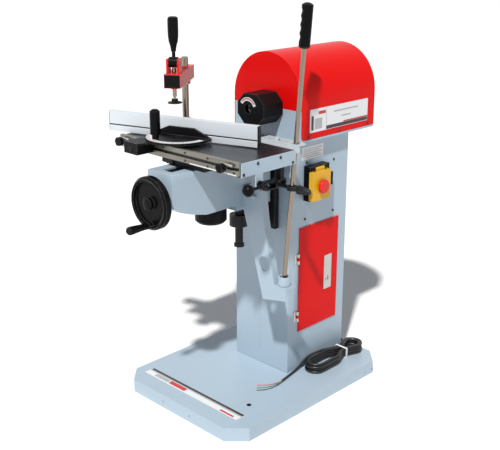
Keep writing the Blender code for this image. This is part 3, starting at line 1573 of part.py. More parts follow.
def smooth_route(points, spacing):
    """Even points on a curve through the given ones, whose first and last runs stay straight, and its length."""
    guides = [Vector(p) for p in points]
    fine = []
    steps = 12
    for k in range(1, len(guides) - 2):
        a, b, c, d = guides[k - 1:k + 3]
        for step in range(steps):
            t = step / steps
            bend = (2 * a - 5 * b + 4 * c - d) * t * t + (3 * b - a - 3 * c + d) * t ** 3
            fine.append(0.5 * (2 * b + (c - a) * t + bend))
    fine.append(guides[-2])
    lengths = [0.0]
    for first, second in zip(fine, fine[1:]):
        lengths.append(lengths[-1] + (second - first).length)
    count = max(2, round(lengths[-1] / spacing))
    even = []
    index = 0
    for k in range(count + 1):
        goal = lengths[-1] * k / count
        while index < len(fine) - 2 and lengths[index + 1] < goal:
            index += 1
        share = (goal - lengths[index]) / (lengths[index + 1] - lengths[index])
        even.append(fine[index].lerp(fine[index + 1], share))
    ends = (guides[1] - guides[0]).length + (guides[-1] - guides[-2]).length
    return [guides[0]] + even + [guides[-1]], lengths[-1] + ends


def tube(name, routes, radius, surface, resolution):
    curve = bpy.data.curves.new(name, "CURVE")
    curve.dimensions = "3D"
    curve.bevel_depth = radius
    curve.bevel_resolution = resolution
    curve.use_fill_caps = True
    for points in routes:
        spline = curve.splines.new("POLY")
        spline.points.add(len(points) - 1)
        for point, place in zip(spline.points, points):
            point.co = (*place, 1.0)
    curve.materials.append(surface)
    item = bpy.data.objects.new(name, curve)
    bpy.context.scene.collection.objects.link(item)
    return item


def tube_mesh(points, radius, resolution):
    """The closed mesh of one tube, to join with others."""
    item = tube("tube_guide", [points], radius, core_insulation(), resolution)
    graph = bpy.context.evaluated_depsgraph_get()
    graph.update()
    mesh = bmesh.new()
    mesh.from_mesh(item.evaluated_get(graph).to_mesh())
    bmesh.ops.remove_doubles(mesh, verts=mesh.verts, dist=0.000001)
    curve = item.data
    bpy.data.objects.remove(item, do_unlink=True)
    bpy.data.curves.remove(curve)
    return mesh


def hank_marks():
    """Marks round one loop, as a place along a run or an angle on an end, from the run on the -X side."""
    marks = [("left", share) for share in reversed(hank_run_shares[1:])]
    marks.append(("left", 0.0))
    marks += [("front", 180 + 180 * k / hank_end_steps) for k in range(1, hank_end_steps)]
    marks += [("right", share) for share in hank_run_shares]
    marks += [("back", 180 * k / hank_end_steps) for k in range(hank_end_steps)]
    marks.append(("left", 1.0))
    return marks


def hank_place(mark, wide):
    """One point of the hank in plan; wide counts pitches outward from the innermost loop."""
    kind, value = mark
    radius = hank_end_radius + wide * hank_pitch
    if kind in ("front", "back"):
        middle = hank_front if kind == "front" else hank_back
        angle = math.radians(value)
        return hank_x + radius * math.cos(angle), middle + radius * math.sin(angle)
    y = hank_front + (hank_back - hank_front) * value
    away = min(1.0, abs(y - hank_waist_y) / hank_waist_reach)
    drawn = math.cos(math.pi / 2 * away) ** 2
    half = radius * (1 - drawn) + (hank_waist_half + wide * hank_waist_pitch) * drawn
    return (hank_x - half, y) if kind == "left" else (hank_x + half, y)


def hank_base_height():
    return base_height + hank_lift


def hank_points():
    """The wound cord: it spirals in and out by turns, and climbs a layer as it turns back."""
    marks = hank_marks()
    around = len(marks)
    first = marks.index(("left", hank_run_shares[2]))
    total = round(hank_layers * hank_layer_turns * around)
    points = []
    for k in range(total + 1):
        turn = k / around
        layer = min(hank_layers - 1, int(turn / hank_layer_turns))
        inside = turn - layer * hank_layer_turns
        wide = hank_layer_turns - inside if layer % 2 == 0 else inside
        height = layer
        for edge in range(1, hank_layers):
            near = turn - edge * hank_layer_turns
            if abs(near) < 0.25:
                height = edge - 0.5 + near * 2
        x, y = hank_place(marks[(first + k) % around], wide)
        points.append(Vector((x, y, hank_base_height() + height * hank_rise)))
    return points


def least_gap(points, skip):
    """Least gap of the tube to itself, measured on points set along its runs."""
    fine = []
    for k in range(len(points) - 1):
        for step in range(4):
            fine.append((k + step / 4, points[k].lerp(points[k + 1], step / 4)))
    least = hank_back
    for k, (mark, place) in enumerate(fine):
        for other_mark, other in fine[k + 1:]:
            if other_mark - mark > skip:
                least = min(least, (place - other).length - 2 * cord_radius)
    return least


def gland_part():
    wall = column_depth + seat_gap
    gland = turned(((gland_radius, wall - column_sheet - gland_hex), (gland_radius, wall),
                    (gland_hex_radius, wall),
                    (gland_hex_radius, wall + gland_hex), (gland_radius, wall + gland_hex),
                    (cord_radius + gland_hex / 2, wall + gland_length - seat_gap)), "Y", (gland_x, gland_z),
                    12)
    solid("cable_gland", gland, black_plastic())


def cord_parts():
    spacing = 5 * cord_radius
    hank = hank_points()
    tube("cord_hank", [hank], cord_radius, cord_rubber(), 1)
    into = (hank[1] - hank[0]).normalized()
    out = (hank[-1] - hank[-2]).normalized()
    straight = 2 * cord_radius + seat_gap
    lead_end = [hank[0] - into * straight, hank[0] - into * seat_gap]
    lead, lead_length = smooth_route(list(lead_route) + lead_end, spacing)
    tube("cord_lead", [lead], cord_radius, cord_rubber(), 2)
    tail_start = [hank[-1] + out * seat_gap, hank[-1] + out * straight]
    tail, tail_length = smooth_route(tail_start + list(tail_route), spacing)
    tube("cord_tail", [tail], cord_radius, cord_rubber(), 2)
    end = tail[-1]
    along = (tail[-1] - tail[-2]).normalized()
    stub = tube_mesh([end + along * seat_gap, end + along * (seat_gap + core_stub)], core_stub_radius, 2)
    cores = [tube_mesh(smooth_route(route, 5 * core_radius)[0], core_radius, 2) for route in core_routes]
    solid("cord_cores", fused(stub, *cores), core_insulation())
    hank_length = sum((b - a).length for a, b in zip(hank, hank[1:]))
    print("hank: least gap to itself %.2f mm" % (1000 * least_gap(hank, 3)))
    print("cord: lead %.3f m, hank %.3f m, tail %.3f m" % (lead_length, hank_length, tail_length))


def tie_part():
    half = hank_waist_half + hank_layer_turns * hank_waist_pitch + cord_radius + tie_gap
    low = hank_base_height() - cord_radius - run_gap
    high = hank_base_height() + (hank_layers - 1) * hank_rise + cord_radius + run_gap
    y = (hank_waist_y - tie_width / 2, hank_waist_y + tie_width / 2)
    band = block((hank_x - half - tie_thick, hank_x + half + tie_thick), y,
                 (low - tie_thick, high + tie_thick))
    inner = block((hank_x - half, hank_x + half), (y[0] - cut_overrun, y[1] + cut_overrun), (low, high))
    solid("cord_tie", cut(band, inner), pale_sheet())


def build():
    clear_scene()
    base_parts()
    column_parts()
    hinge_parts()
    door_parts()
    head_parts()
    hood_parts()
    motor_parts()
    spindle_parts()
    guard_parts()
    switch_parts()
    flap_parts()
    slide_parts()
    screw_lift_parts()
    knee_parts()
    wheel_parts()
    saddle_parts()
    table_parts()
    front_rail_parts()
    side_plate_parts()
    lock_lever_parts()
    rear_rail_parts()
    slot_plate_parts()
    guide_parts()
    link_parts()
    stop_parts("left", stop_left_x)
    stop_parts("right", stop_right_x)
    protractor_parts()
    swivel_parts()
    fence_parts()
    handle_parts()
    post_parts()
    collar_parts()
    arm_parts()
    cam_parts()
    plunger_parts()
    bracket_parts()
    lever_parts()
    gland_part()
    cord_parts()
    tie_part()


build()
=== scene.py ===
"""Looks for the slot mortiser: finishes, labels, screws, the cord and the studio, in the part's own frame."""
import json
import math

import bmesh
import bpy
from mathutils import Matrix, Vector


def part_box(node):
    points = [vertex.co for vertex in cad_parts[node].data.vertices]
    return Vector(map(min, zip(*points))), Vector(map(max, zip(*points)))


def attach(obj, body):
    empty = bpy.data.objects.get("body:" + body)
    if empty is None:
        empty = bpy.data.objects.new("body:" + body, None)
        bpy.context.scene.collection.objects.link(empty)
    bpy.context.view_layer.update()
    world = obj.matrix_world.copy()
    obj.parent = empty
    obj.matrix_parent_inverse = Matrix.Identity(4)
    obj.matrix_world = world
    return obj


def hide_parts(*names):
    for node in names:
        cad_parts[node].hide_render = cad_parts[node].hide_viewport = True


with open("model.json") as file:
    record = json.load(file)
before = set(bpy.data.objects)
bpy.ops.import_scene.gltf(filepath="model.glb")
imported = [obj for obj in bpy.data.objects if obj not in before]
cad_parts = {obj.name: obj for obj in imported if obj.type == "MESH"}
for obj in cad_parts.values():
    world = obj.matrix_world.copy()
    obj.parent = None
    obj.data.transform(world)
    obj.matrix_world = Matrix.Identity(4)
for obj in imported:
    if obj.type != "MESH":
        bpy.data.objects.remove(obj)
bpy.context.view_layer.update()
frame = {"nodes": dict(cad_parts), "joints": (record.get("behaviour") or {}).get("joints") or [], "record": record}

# Camera and light, from the photograph's perspective and shadows. Angles are in degrees.
CAMERA_PLACE = (1.9056, -1.9902, 1.4843)
CAMERA_YAW = 44.58
CAMERA_PITCH = 18.68
CAMERA_LENS = 63.0
CAMERA_SENSOR = 36.0
CAMERA_NEAR = 0.05
CAMERA_FAR = 60.0
SUN_TRAVEL = (-0.6, 1.0, -1.55)
SUN_STRENGTH = 4.1
SUN_SPREAD = 2.5
SUN_COLOUR = (1.0, 0.98, 0.94)
FILLS = (("fill_left", (-2.6, -2.4, 1.8), 8), ("fill_right", (3.2, 0.6, 1.8), 3))
FILL_SIZE = 2.5
FILL_AIM = (0, 0, 0.7)
SKY_COLOUR = (0.86, 0.92, 1.0, 1)
SKY_STRENGTH = 0.22
FLOOR_HALF = 14
FLOOR_LEVELS = (-0.02, -0.0002)

# What all finishes share. Shares run from 0 to 1, and lengths are in metres.
COAT_ROUGHNESS = 0.15
PATCH_DETAIL = 4.0
GRAIN_DETAIL = 3.0
GRAIN_DEPTH = 0.001
LEAST_ROUGHNESS = 0.03
EDGE_RADIUS = 0.0012
EDGE_SAMPLES = 4
EDGE_LIKENESS_WORN = 0.90
EDGE_LIKENESS_WHOLE = 0.99
EDGE_WEAR_SHARE = 0.5
WORN_LEVEL = 0.75
WORN_SHARE = 0.45

# The sockets of a Mix node that mixes colours
MIX_FACTOR, MIX_FIRST, MIX_SECOND, MIX_RESULT = 0, 6, 7, 2

# How meshes are cleaned and softened
DRESSED_WELD = 0.000002
BUILT_WELD = 0.000001
FLAT_ANGLE = 0.4
SHARP_ANGLE = 38
SOFTENED_ANGLE = 40
CORNER_STEPS = 5
TURNED_STEPS = 32

# The cord's route, as in the part's source
CORD_RADIUS = 0.004
GLAND_EXIT = (0.0600, 0.3123, 0.0800)
BASE_HEIGHT = 0.046
HANK_X = 0.172
HANK_FRONT = 0.091
HANK_BACK = 0.292
HANK_END_RADIUS = 0.0218
HANK_PITCH = 0.0088
HANK_RISE = 0.0088
HANK_LIFT = 0.0064
HANK_WAIST_Y = 0.231
HANK_WAIST_HALF = 0.0024
HANK_WAIST_PITCH = 0.0098
HANK_WAIST_REACH = 0.062
HANK_LAYERS = 4
HANK_LAYER_TURNS = 1.5
HANK_STEP_TURNS = 0.25
HANK_RUN_SHARES = (0.0, 0.22, 0.44, 0.60, 0.70, 0.80)
HANK_START_SHARE = HANK_RUN_SHARES[2]
HANK_END_STEPS = 6
LEAD_ROUTE = (
    GLAND_EXIT, (0.0600, 0.3205, 0.0800), (0.0640, 0.3262, 0.0720), (0.0780, 0.3278, 0.0590),
    (0.0980, 0.3262, 0.0520), (0.1150, 0.3180, 0.0507), (0.1255, 0.3020, 0.0507), (0.1280, 0.2800, 0.0507),
    (0.1284, 0.2520, 0.0507), (0.1300, 0.2250, 0.0512), (0.1345, 0.2050, 0.0520),
)
TAIL_ROUTE = (
    (0.1330, 0.1500, 0.0795), (0.1320, 0.1200, 0.0800), (0.1312, 0.0960, 0.0780), (0.1308, 0.0740, 0.0690),
    (0.1315, 0.0540, 0.0590), (0.1340, 0.0300, 0.0522), (0.1390, 0.0000, 0.0507), (0.1455, -0.0330, 0.0507),
    (0.1502, -0.0560, 0.0507),
)
CORE_ROUTES = {
    "red": ((0.1487, -0.0567, 0.0513), (0.1450, -0.0740, 0.0490), (0.1370, -0.0950, 0.0480),
            (0.1240, -0.1130, 0.0480), (0.1060, -0.1310, 0.0480)),
    "green": ((0.1511, -0.0564, 0.0528), (0.1513, -0.0760, 0.0500), (0.1465, -0.1000, 0.0480),
              (0.1360, -0.1240, 0.0480), (0.1190, -0.1450, 0.0480)),
    "black": ((0.1516, -0.0565, 0.0488), (0.1555, -0.0790, 0.0480), (0.1545, -0.1080, 0.0480),
              (0.1460, -0.1360, 0.0480), (0.1300, -0.1560, 0.0480)),
}
CORE_RADIUS = 0.0012
CORE_ROOT = 0.0005
CORE_SPACING = 0.003
STRAND_SHARE = 0.55
STRAND_HIDDEN = 0.0002
STRAND_SHOWN = 0.004
CORD_SPACING = 0.006
CURVE_STEPS = 12
TUBE_FINENESS = 5
TIE_SOFTENING = 0.0004

# The lever, measured along its bar from the middle of its ball
LEVER_LEAN = -5.84
LEVER_TIP_RADIUS = 0.0044
LEVER_FOOT_RADIUS = 0.0045
LEVER_FOOT_START = -0.0040
LEVER_FOOT_END = 0.0130
LEVER_SHOULDER_RADIUS = 0.0068
LEVER_SHOULDER_HEIGHT = 0.0136
LEVER_ROD_RADIUS = 0.0073
LEVER_ROD_START = 0.0180
LEVER_ROD_END = 0.7180
GRIP_START = 0.706
GRIP_END = 0.8365
GRIP_RADIUS = 0.0172
GRIP_RINGS = 60
GRIP_SIDES = 40
GRIP_FOOT_SHARE = 0.025
GRIP_FOOT_ROUNDING = 0.5
GRIP_FOOT_LEAST_SHARE = 0.55
GRIP_DOME_SHARE = 0.05
GRIP_DOME_ROUNDING = 0.4
GRIP_DOME_LEAST_SHARE = 0.25
HOLLOW_DEPTH = 0.0024
HOLLOW_START_SHARE = 0.14
HOLLOW_END_SHARE = 0.90
HOLLOW_PITCH_SHARE = 0.19
HOLLOW_FACING = 225
HOLLOW_NARROWING = 1.5

# Turned grips, as (radius, distance from where the grip starts)
CLAMP_HANDLE_PROFILE = (
    (0.0062, 0.0360), (0.0078, 0.0370), (0.0084, 0.0460), (0.0108, 0.0560), (0.0140, 0.0660),
    (0.0158, 0.0800), (0.0164, 0.0980), (0.0164, 0.1270), (0.0158, 0.1340), (0.0140, 0.1380),
    (0.0095, 0.1398), (0.0020, 0.1402),
)
CLAMP_HANDLE_STEPS = 36
CRANK_GRIP_PROFILE = (
    (0.0055, 0.0003), (0.0098, 0.0008), (0.0104, 0.0030), (0.0098, 0.0100), (0.0100, 0.0230),
    (0.0112, 0.0400), (0.0124, 0.0560), (0.0126, 0.0650), (0.0116, 0.0690), (0.0080, 0.0708),
    (0.0015, 0.0713),
)

# Labels. A place is measured from the front or left lower corner of what carries the label, and a printed
# field is (left, right, low, high) from the label's own corner.
LABEL_THICKNESS = 0.0005
PRINT_THICKNESS = 0.0003
SURFACE_GAP = 0.0002
CLOSE_GAP = 0.0001
LABEL_CORNER = 0.001
HOOD_LABEL_PLACE = (0.0375, 0.020)
HOOD_LABEL = (0.0, 0.294, 0.0, 0.074)
HOOD_LABEL_CORNER = 0.003
HOOD_LABEL_BAND = (0.080, 0.293, 0.0015, 0.0130)
HOOD_LABEL_STRIPE = (0.166, 0.293, 0.0135, 0.0175)
HOOD_LABEL_SQUARE = (0.023, 0.059, 0.009, 0.043)
HOOD_LABEL_BAR = (0.041, 0.076, 0.055, 0.065)
HOOD_LABEL_EDGE = (0.007, 0.018, 0.007, 0.053)
HOOD_LABEL_DIVIDE = (0.0795, 0.0815, 0.001, 0.073)
HOOD_DIVIDE_CORNER = 0.0005
HOOD_LABEL_LINES = ((0.116, 0.241, 0.052, 0.0565), (0.156, 0.203, 0.033, 0.0375))
INFO_LABEL_PLACE = (0.055, 0.7377)
INFO_LABEL = (0.0, 0.105, 0.0, 0.042)
INFO_LABEL_CORNER = 0.002
INFO_LINE = (0.007, 0.098, 0.0055, 0.0078)
INFO_LINE_CORNER = 0.0008
INFO_LINES = 5
INFO_LINE_PITCH = 0.0068
INFO_FIRST_INDENT = 0.012
INFO_SHORT_END = 0.014
LINE_CORNER_STEPS = 2
BASE_STRIP_PLACE = (0.042, 0.059)
BASE_STRIP = (0.0, 0.444, 0.0, 0.039)
BASE_STRIP_BAND = (0.002, 0.443, 0.0285, 0.0385)
BASE_STRIP_SHADE = (0.002, 0.443, 0.0225, 0.0280)
BASE_STRIP_BLOCK = (0.115, 0.194, 0.0055, 0.0220)
BASE_STRIP_BAR = (0.042, 0.110, 0.0060, 0.0210)
BASE_STRIP_END = (0.364, 0.424, 0.0040, 0.0120)
GUARD_LABEL_THICKNESS = 0.0006
GUARD_LABEL_RADIUS = 0.031
GUARD_LABEL_HALF = 0.0055
GUARD_ARC_RADIUS = 0.032
GUARD_ARC_HALF = 0.0018
GUARD_LABEL_SWEEP = (20, 150)
GUARD_LABEL_STEPS = 26
GUARD_ARC_SWEEP = (32, 138)
GUARD_ARC_STEPS = 22
# The keyhole, a dark sticker of painted shade on the lock's face
KEYHOLE_HALF = (0.0017, 0.0055)
KEYHOLE_CORNER = 0.0012
KEYHOLE_RISE = 0.0004
SEAM = (-0.0062, -0.0052, 0.093, 0.290)
SEAM_CORNER = 0.0004
SEAM_LEVELS = (-0.0005, -0.0001)

# Screws: heads as (radius, height), and their places
CASE_SCREW_PROFILE = ((0.0045, 0.0), (0.0046, 0.0007), (0.0040, 0.0016), (0.0028, 0.0022), (0.0004, 0.0024))
CASE_SCREW_STEPS = 24
# Dark crosses of painted shade in the place of the heads' cross slots
CROSS_REACH = 0.0026
CROSS_HALF = 0.0004
CROSS_LEVELS = (0.0018, 0.0026)
CROSS_OVERRUN = 0.0001
HOOD_SCREWS_Y = (0.057, 0.207, 0.356)
HOOD_SCREW_RISE = 0.009
COLUMN_SCREWS = ((0.076, 0.584), (0.219, 0.583), (0.079, 0.775), (0.216, 0.761))
TABLE_SCREW_PROFILE = ((0.0047, 0.0), (0.0047, 0.0008), (0.0040, 0.0020), (0.0024, 0.0027), (0.0020, 0.0012),
                       (0.0004, 0.0012))
TABLE_SCREW_STEPS = 20
TABLE_SCREW_SUNK = 0.0001
SIDE_SCREWS = ((-0.293, 0.867), (-0.200, 0.867), (-0.147, 0.843), (-0.349, 0.844))
RAIL_SCREWS_UPPER_X = (-0.052, 0.044, 0.140, 0.246)
RAIL_SCREWS_LOWER_X = (0.044, 0.140, 0.246)
RAIL_SCREW_LEVELS = (0.873, 0.8495)
RAIL_SCREW_WIDTH_SHARE = 0.8
RAIL_SCREW_HEIGHT_SHARE = 0.6

# The scale on the swivel, and the fence in its own directions from its pivot
FENCE_ANGLE = 17.3
SCALE_RISE = 0.0031
SCALE_THICKNESS = 0.0004
SCALE_RADIUS = 0.0895
SCALE_HALF = 0.0090
SCALE_START = 190
SCALE_END = 350
SCALE_STEPS = 48
TICK_THICKNESS = 0.0003
TICK_MIDDLE = 270
TICK_PITCH = 5
TICKS_EACH_WAY = 15
TICK_OUTER = 0.0975
TICK_INNER_LONG = 0.0860
TICK_INNER_SHORT = 0.0905
TICK_HALF = 0.0004
MARK_HALF = 0.0012
MARK_EVERY = 4
FENCE_LEFT = -0.2680
FENCE_RIGHT = 0.2550
FENCE_FRONT = 0.0210
FENCE_REAR = 0.0430
CAP_THICKNESS = 0.0017
CAP_GAP = 0.0001
CAP_INSET = 0.0002
CAP_FOOT_INSET = 0.0003
CAP_CORNER = 0.0008
# Where the dark strip of painted shade lies in the fence's groove
GROOVE_INSET = 0.0005
GROOVE_DEPTHS = (0.0008, 0.0011)
GROOVE_LEVELS = (0.8992, 0.9038)
GROOVE_CORNER = 0.0001

# The plug in the clamp's arm, the dark strip of painted shade in the front rail's groove, and the rail's rule
CLAMP_SWING = -53.1
ARM_PLUG = (0.186, 0.1942, -0.0242, 0.0242)
ARM_PLUG_LEVELS = (1.0285, 1.0675)
ARM_PLUG_CORNER = 0.001
ARM_PLUG_SOFTENING = 0.0008
RAIL_GROOVE_SHADE = (-0.3617, -0.3614, 0.8572, 0.8658)
RAIL_GROOVE_SHADE_HALF = 0.2595
RAIL_RULE = (-0.3700, -0.3694, 0.8422, 0.8460)
RAIL_RULE_CORNER = 0.0002
RAIL_RULE_ENDS = (0.064, 0.255)
FEW_CORNER_STEPS = 3


def patchy(nodes, links, place, colour, shade, patch):
    """The colour in soft patches, darker and lighter by a share, as an output."""
    patches = nodes.new("ShaderNodeTexNoise")
    patches.inputs["Scale"].default_value = patch
    patches.inputs["Detail"].default_value = PATCH_DETAIL
    links.new(place.outputs["Object"], patches.inputs["Vector"])
    tint = nodes.new("ShaderNodeMix")
    tint.data_type = "RGBA"
    dark = [c * (1 - shade) for c in colour]
    light = [min(1.0, c * (1 + shade)) for c in colour]
    tint.inputs[MIX_FIRST].default_value = (*dark, 1.0)
    tint.inputs[MIX_SECOND].default_value = (*light, 1.0)
    links.new(patches.outputs["Fac"], tint.inputs[MIX_FACTOR])
    return tint.outputs[MIX_RESULT]


def worn(nodes, links, surface, colour):
    """The surface's colour, paler where a rounded edge would turn away from its face, as an output."""
    shape = nodes.new("ShaderNodeNewGeometry")
    turned = nodes.new("ShaderNodeBevel")
    turned.samples = EDGE_SAMPLES
    turned.inputs["Radius"].default_value = EDGE_RADIUS
    likeness = nodes.new("ShaderNodeVectorMath")
    likeness.operation = "DOT_PRODUCT"
    links.new(turned.outputs["Normal"], likeness.inputs[0])
    links.new(shape.outputs["Normal"], likeness.inputs[1])
    edge = nodes.new("ShaderNodeMapRange")
    edge.inputs["From Min"].default_value = EDGE_LIKENESS_WORN
    edge.inputs["From Max"].default_value = EDGE_LIKENESS_WHOLE
    edge.inputs["To Min"].default_value = EDGE_WEAR_SHARE
    edge.inputs["To Max"].default_value = 0.0
    links.new(likeness.outputs["Value"], edge.inputs["Value"])
    rubbed = nodes.new("ShaderNodeMix")
    rubbed.data_type = "RGBA"
    pale = [c + max(0.0, WORN_LEVEL - c) * WORN_SHARE for c in colour]
    rubbed.inputs[MIX_SECOND].default_value = (*pale, 1.0)
    links.new(edge.outputs["Result"], rubbed.inputs[MIX_FACTOR])
    links.new(surface, rubbed.inputs[MIX_FIRST])
    return rubbed.outputs[MIX_RESULT]


def add_grain(nodes, links, place, shader, stretch, grain, bump, low, high):
    """Gives the shader a fine grain in its relief and a roughness that runs from low to high with it."""
    scaled = nodes.new("ShaderNodeMapping")
    scaled.inputs["Scale"].default_value = stretch
    links.new(place.outputs["Object"], scaled.inputs["Vector"])
    fine = nodes.new("ShaderNodeTexNoise")
    fine.inputs["Scale"].default_value = grain
    fine.inputs["Detail"].default_value = GRAIN_DETAIL
    links.new(scaled.outputs["Vector"], fine.inputs["Vector"])
    spread = nodes.new("ShaderNodeMapRange")
    spread.inputs["To Min"].default_value = low
    spread.inputs["To Max"].default_value = high
    links.new(fine.outputs["Fac"], spread.inputs["Value"])
    links.new(spread.outputs["Result"], shader.inputs["Roughness"])
    relief = nodes.new("ShaderNodeBump")
    relief.inputs["Strength"].default_value = bump
    relief.inputs["Distance"].default_value = GRAIN_DEPTH
    links.new(fine.outputs["Fac"], relief.inputs["Height"])
    links.new(relief.outputs["Normal"], shader.inputs["Normal"])


def finish_of(name, colour, roughness, metallic=0.0, shade=0.06, patch=6.0, grain=400.0, bump=0.03,
              stretch=(1.0, 1.0, 1.0), rough_spread=0.08, coat=0.0, gloss=0.5):
    """A surface with soft colour patches, worn edges, a fine grain in its relief and an uneven polish."""
    made = bpy.data.materials.get(name)
    if made:
        return made
    made = bpy.data.materials.new(name)
    made.use_nodes = True
    nodes, links = made.node_tree.nodes, made.node_tree.links
    shader = nodes["Principled BSDF"]
    shader.inputs["Base Color"].default_value = (*colour, 1.0)
    shader.inputs["Roughness"].default_value = roughness
    shader.inputs["Metallic"].default_value = metallic
    shader.inputs["Coat Weight"].default_value = coat
    shader.inputs["Coat Roughness"].default_value = COAT_ROUGHNESS
    shader.inputs["Specular IOR Level"].default_value = gloss
    place = nodes.new("ShaderNodeTexCoord")
    surface = patchy(nodes, links, place, colour, shade, patch)
    links.new(worn(nodes, links, surface, colour), shader.inputs["Base Color"])
    smoothest = max(LEAST_ROUGHNESS, roughness - rough_spread)
    add_grain(nodes, links, place, shader, stretch, grain, bump, smoothest, roughness + rough_spread)
    return made


def grey_enamel():
    return finish_of("grey_enamel", (0.350, 0.445, 0.535), roughness=0.40, shade=0.04, grain=260, bump=0.10,
                     coat=0.10)


def red_enamel():
    return finish_of("red_enamel", (0.66, 0.003, 0.003), roughness=0.34, shade=0.04, grain=240, bump=0.06,
                     coat=0.04, gloss=0.08)


def ground_iron():
    return finish_of("ground_iron", (0.036, 0.038, 0.046), roughness=0.24, metallic=0.75, shade=0.25, patch=9,
                     grain=60, bump=0.05, stretch=(1.0, 30.0, 1.0), rough_spread=0.35)


def black_iron():
    return finish_of("black_iron", (0.014, 0.015, 0.018), roughness=0.46, metallic=0.2, shade=0.2, patch=18,
                     grain=300, bump=0.12, gloss=0.22)


def satin_steel():
    return finish_of("satin_steel", (0.50, 0.50, 0.49), roughness=0.34, metallic=1.0, shade=0.10, patch=30,
                     grain=500, bump=0.06)


# Chrome whose base colour is darkened and tinted warm brown: painted reflection of the red hood and brown
# surroundings
def chrome_with_painted_reflection():
    return finish_of("chrome_with_painted_reflection", (0.29, 0.24, 0.20), roughness=0.16, metallic=1.0, shade=0.08, patch=12,
                     grain=300, bump=0.01, rough_spread=0.04)


def brushed_aluminium():
    return finish_of("brushed_aluminium", (0.62, 0.67, 0.72), roughness=0.50, metallic=0.25, shade=0.04,
                     patch=10, grain=90, bump=0.05, stretch=(1.0, 1.0, 40.0))


def dull_aluminium():
    return finish_of("dull_aluminium", (0.50, 0.56, 0.60), roughness=0.50, metallic=0.30, shade=0.06,
                     patch=12, grain=120, bump=0.05, stretch=(30.0, 1.0, 1.0))


def rail_steel():
    return finish_of("rail_steel", (0.25, 0.235, 0.20), roughness=0.34, metallic=0.85, shade=0.08, patch=14,
                     grain=120, bump=0.05, stretch=(1.0, 30.0, 30.0))


def black_moulding():
    return finish_of("black_moulding", (0.005, 0.005, 0.006), roughness=0.36, shade=0.2, grain=700, bump=0.06,
                     gloss=0.09)


def dark_grip():
    return finish_of("dark_grip", (0.004, 0.004, 0.005), roughness=0.26, shade=0.2, grain=500, bump=0.02,
                     gloss=0.07)


def yellow_moulding():
    return finish_of("yellow_moulding", (0.66, 0.36, 0.01), roughness=0.34, shade=0.04, grain=500, bump=0.05,
                     gloss=0.4)


def red_moulding():
    return finish_of("red_moulding", (0.62, 0.010, 0.006), roughness=0.30, shade=0.05, grain=500, bump=0.04,
                     gloss=0.4)


def green_moulding():
    return finish_of("green_moulding", (0.02, 0.30, 0.08), roughness=0.30, shade=0.05, grain=500, bump=0.04)


def vinyl(name, colour, shade=0.05):
    return finish_of(name, colour, roughness=0.38, shade=shade, patch=25, grain=800, bump=0.03)


def pale_vinyl():
    return vinyl("pale_vinyl", (0.70, 0.71, 0.74), 0.03)


def grey_vinyl():
    return vinyl("grey_vinyl", (0.36, 0.37, 0.39))


# Dark vinyl, for printed fields and also for the dark strips of painted shade in grooves, screw slots and the
# keyhole
def dark_vinyl_print_and_painted_shade():
    return vinyl("dark_vinyl_print_and_painted_shade", (0.014, 0.014, 0.016), 0.08)


def red_vinyl():
    return vinyl("red_vinyl", (0.50, 0.02, 0.02))


def cord_sheath():
    return finish_of("cord_sheath", (0.009, 0.009, 0.010), roughness=0.36, shade=0.25, patch=40, grain=900,
                     bump=0.10)


def core_insulation(name, colour):
    return finish_of(name, colour, roughness=0.32, patch=60, grain=900, bump=0.04)


def pink_core():
    return core_insulation("pink_core", (0.62, 0.10, 0.12))


def green_core():
    return core_insulation("green_core", (0.02, 0.25, 0.11))


def bare_copper():
    return finish_of("bare_copper", (0.72, 0.38, 0.22), roughness=0.30, metallic=1.0, shade=0.1, patch=60,
                     grain=900, bump=0.10)


def floor_paint():
    return finish_of("floor_paint", (0.93, 0.93, 0.93), roughness=0.80, shade=0.01, patch=2, grain=60,
                     bump=0.01)


def linked(obj, material=None, body=None):
    """Puts an object in the scene with its material and its body."""
    bpy.context.scene.collection.objects.link(obj)
    if material:
        obj.data.materials.clear()
        obj.data.materials.append(material)
    if body:
        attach(obj, body)
    return obj


def soften(obj, width):
    """Rounds an object's sharp edges off."""
    bevel = obj.modifiers.new("edges", "BEVEL")
    bevel.width = width
    bevel.segments = 2
    bevel.limit_method = "ANGLE"
    bevel.angle_limit = math.radians(SOFTENED_ANGLE)
    bevel.harden_normals = True
    bevel.use_clamp_overlap = True


def finished(name, mesh, material, body, softening=0.0):
    """Turns a bmesh into a piece that is smooth on its rounds, sharp at its corners and softened if asked."""
    bmesh.ops.recalc_face_normals(mesh, faces=mesh.faces)
    data = bpy.data.meshes.new(name)
    mesh.to_mesh(data)
    mesh.free()
    data.shade_smooth()
    data.set_sharp_from_angle(angle=math.radians(SHARP_ANGLE))
    made = linked(bpy.data.objects.new(name, data), material, body)
    if softening:
        soften(made, softening)
    return made


def from_bmesh(name, mesh, material, body, softening=0.0):
    bmesh.ops.remove_doubles(mesh, verts=mesh.verts, dist=BUILT_WELD)
    return finished(name, mesh, material, body, softening)


def dressed(node, body, material, width):
    """A fuller copy of a CAD node: welded, smooth on its rounds and softened along its edges."""
    source = frame["nodes"][node]
    mesh = bmesh.new()
    mesh.from_mesh(source.data)
    mesh.transform(source.matrix_world)
    bmesh.ops.remove_doubles(mesh, verts=mesh.verts, dist=DRESSED_WELD)
    bmesh.ops.dissolve_limit(mesh, angle_limit=math.radians(FLAT_ANGLE), verts=mesh.verts, edges=mesh.edges)
    made = finished(node + "_body", mesh, material, body, width)
    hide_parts(node)
    return made


def joint_place(name):
    """Where a joint of the record stands at rest."""
    return next(joint["pos_m"] for joint in frame["joints"] if joint["name"] == name)


def on_axis(axis, along, a, b):
    """A point at a place along an axis, with its other two coordinates in order."""
    return {"X": (along, a, b), "Y": (a, along, b), "Z": (a, b, along)}[axis]


def circle(radius, steps):
    return [(radius * math.cos(math.tau * k / steps), radius * math.sin(math.tau * k / steps))
            for k in range(steps)]


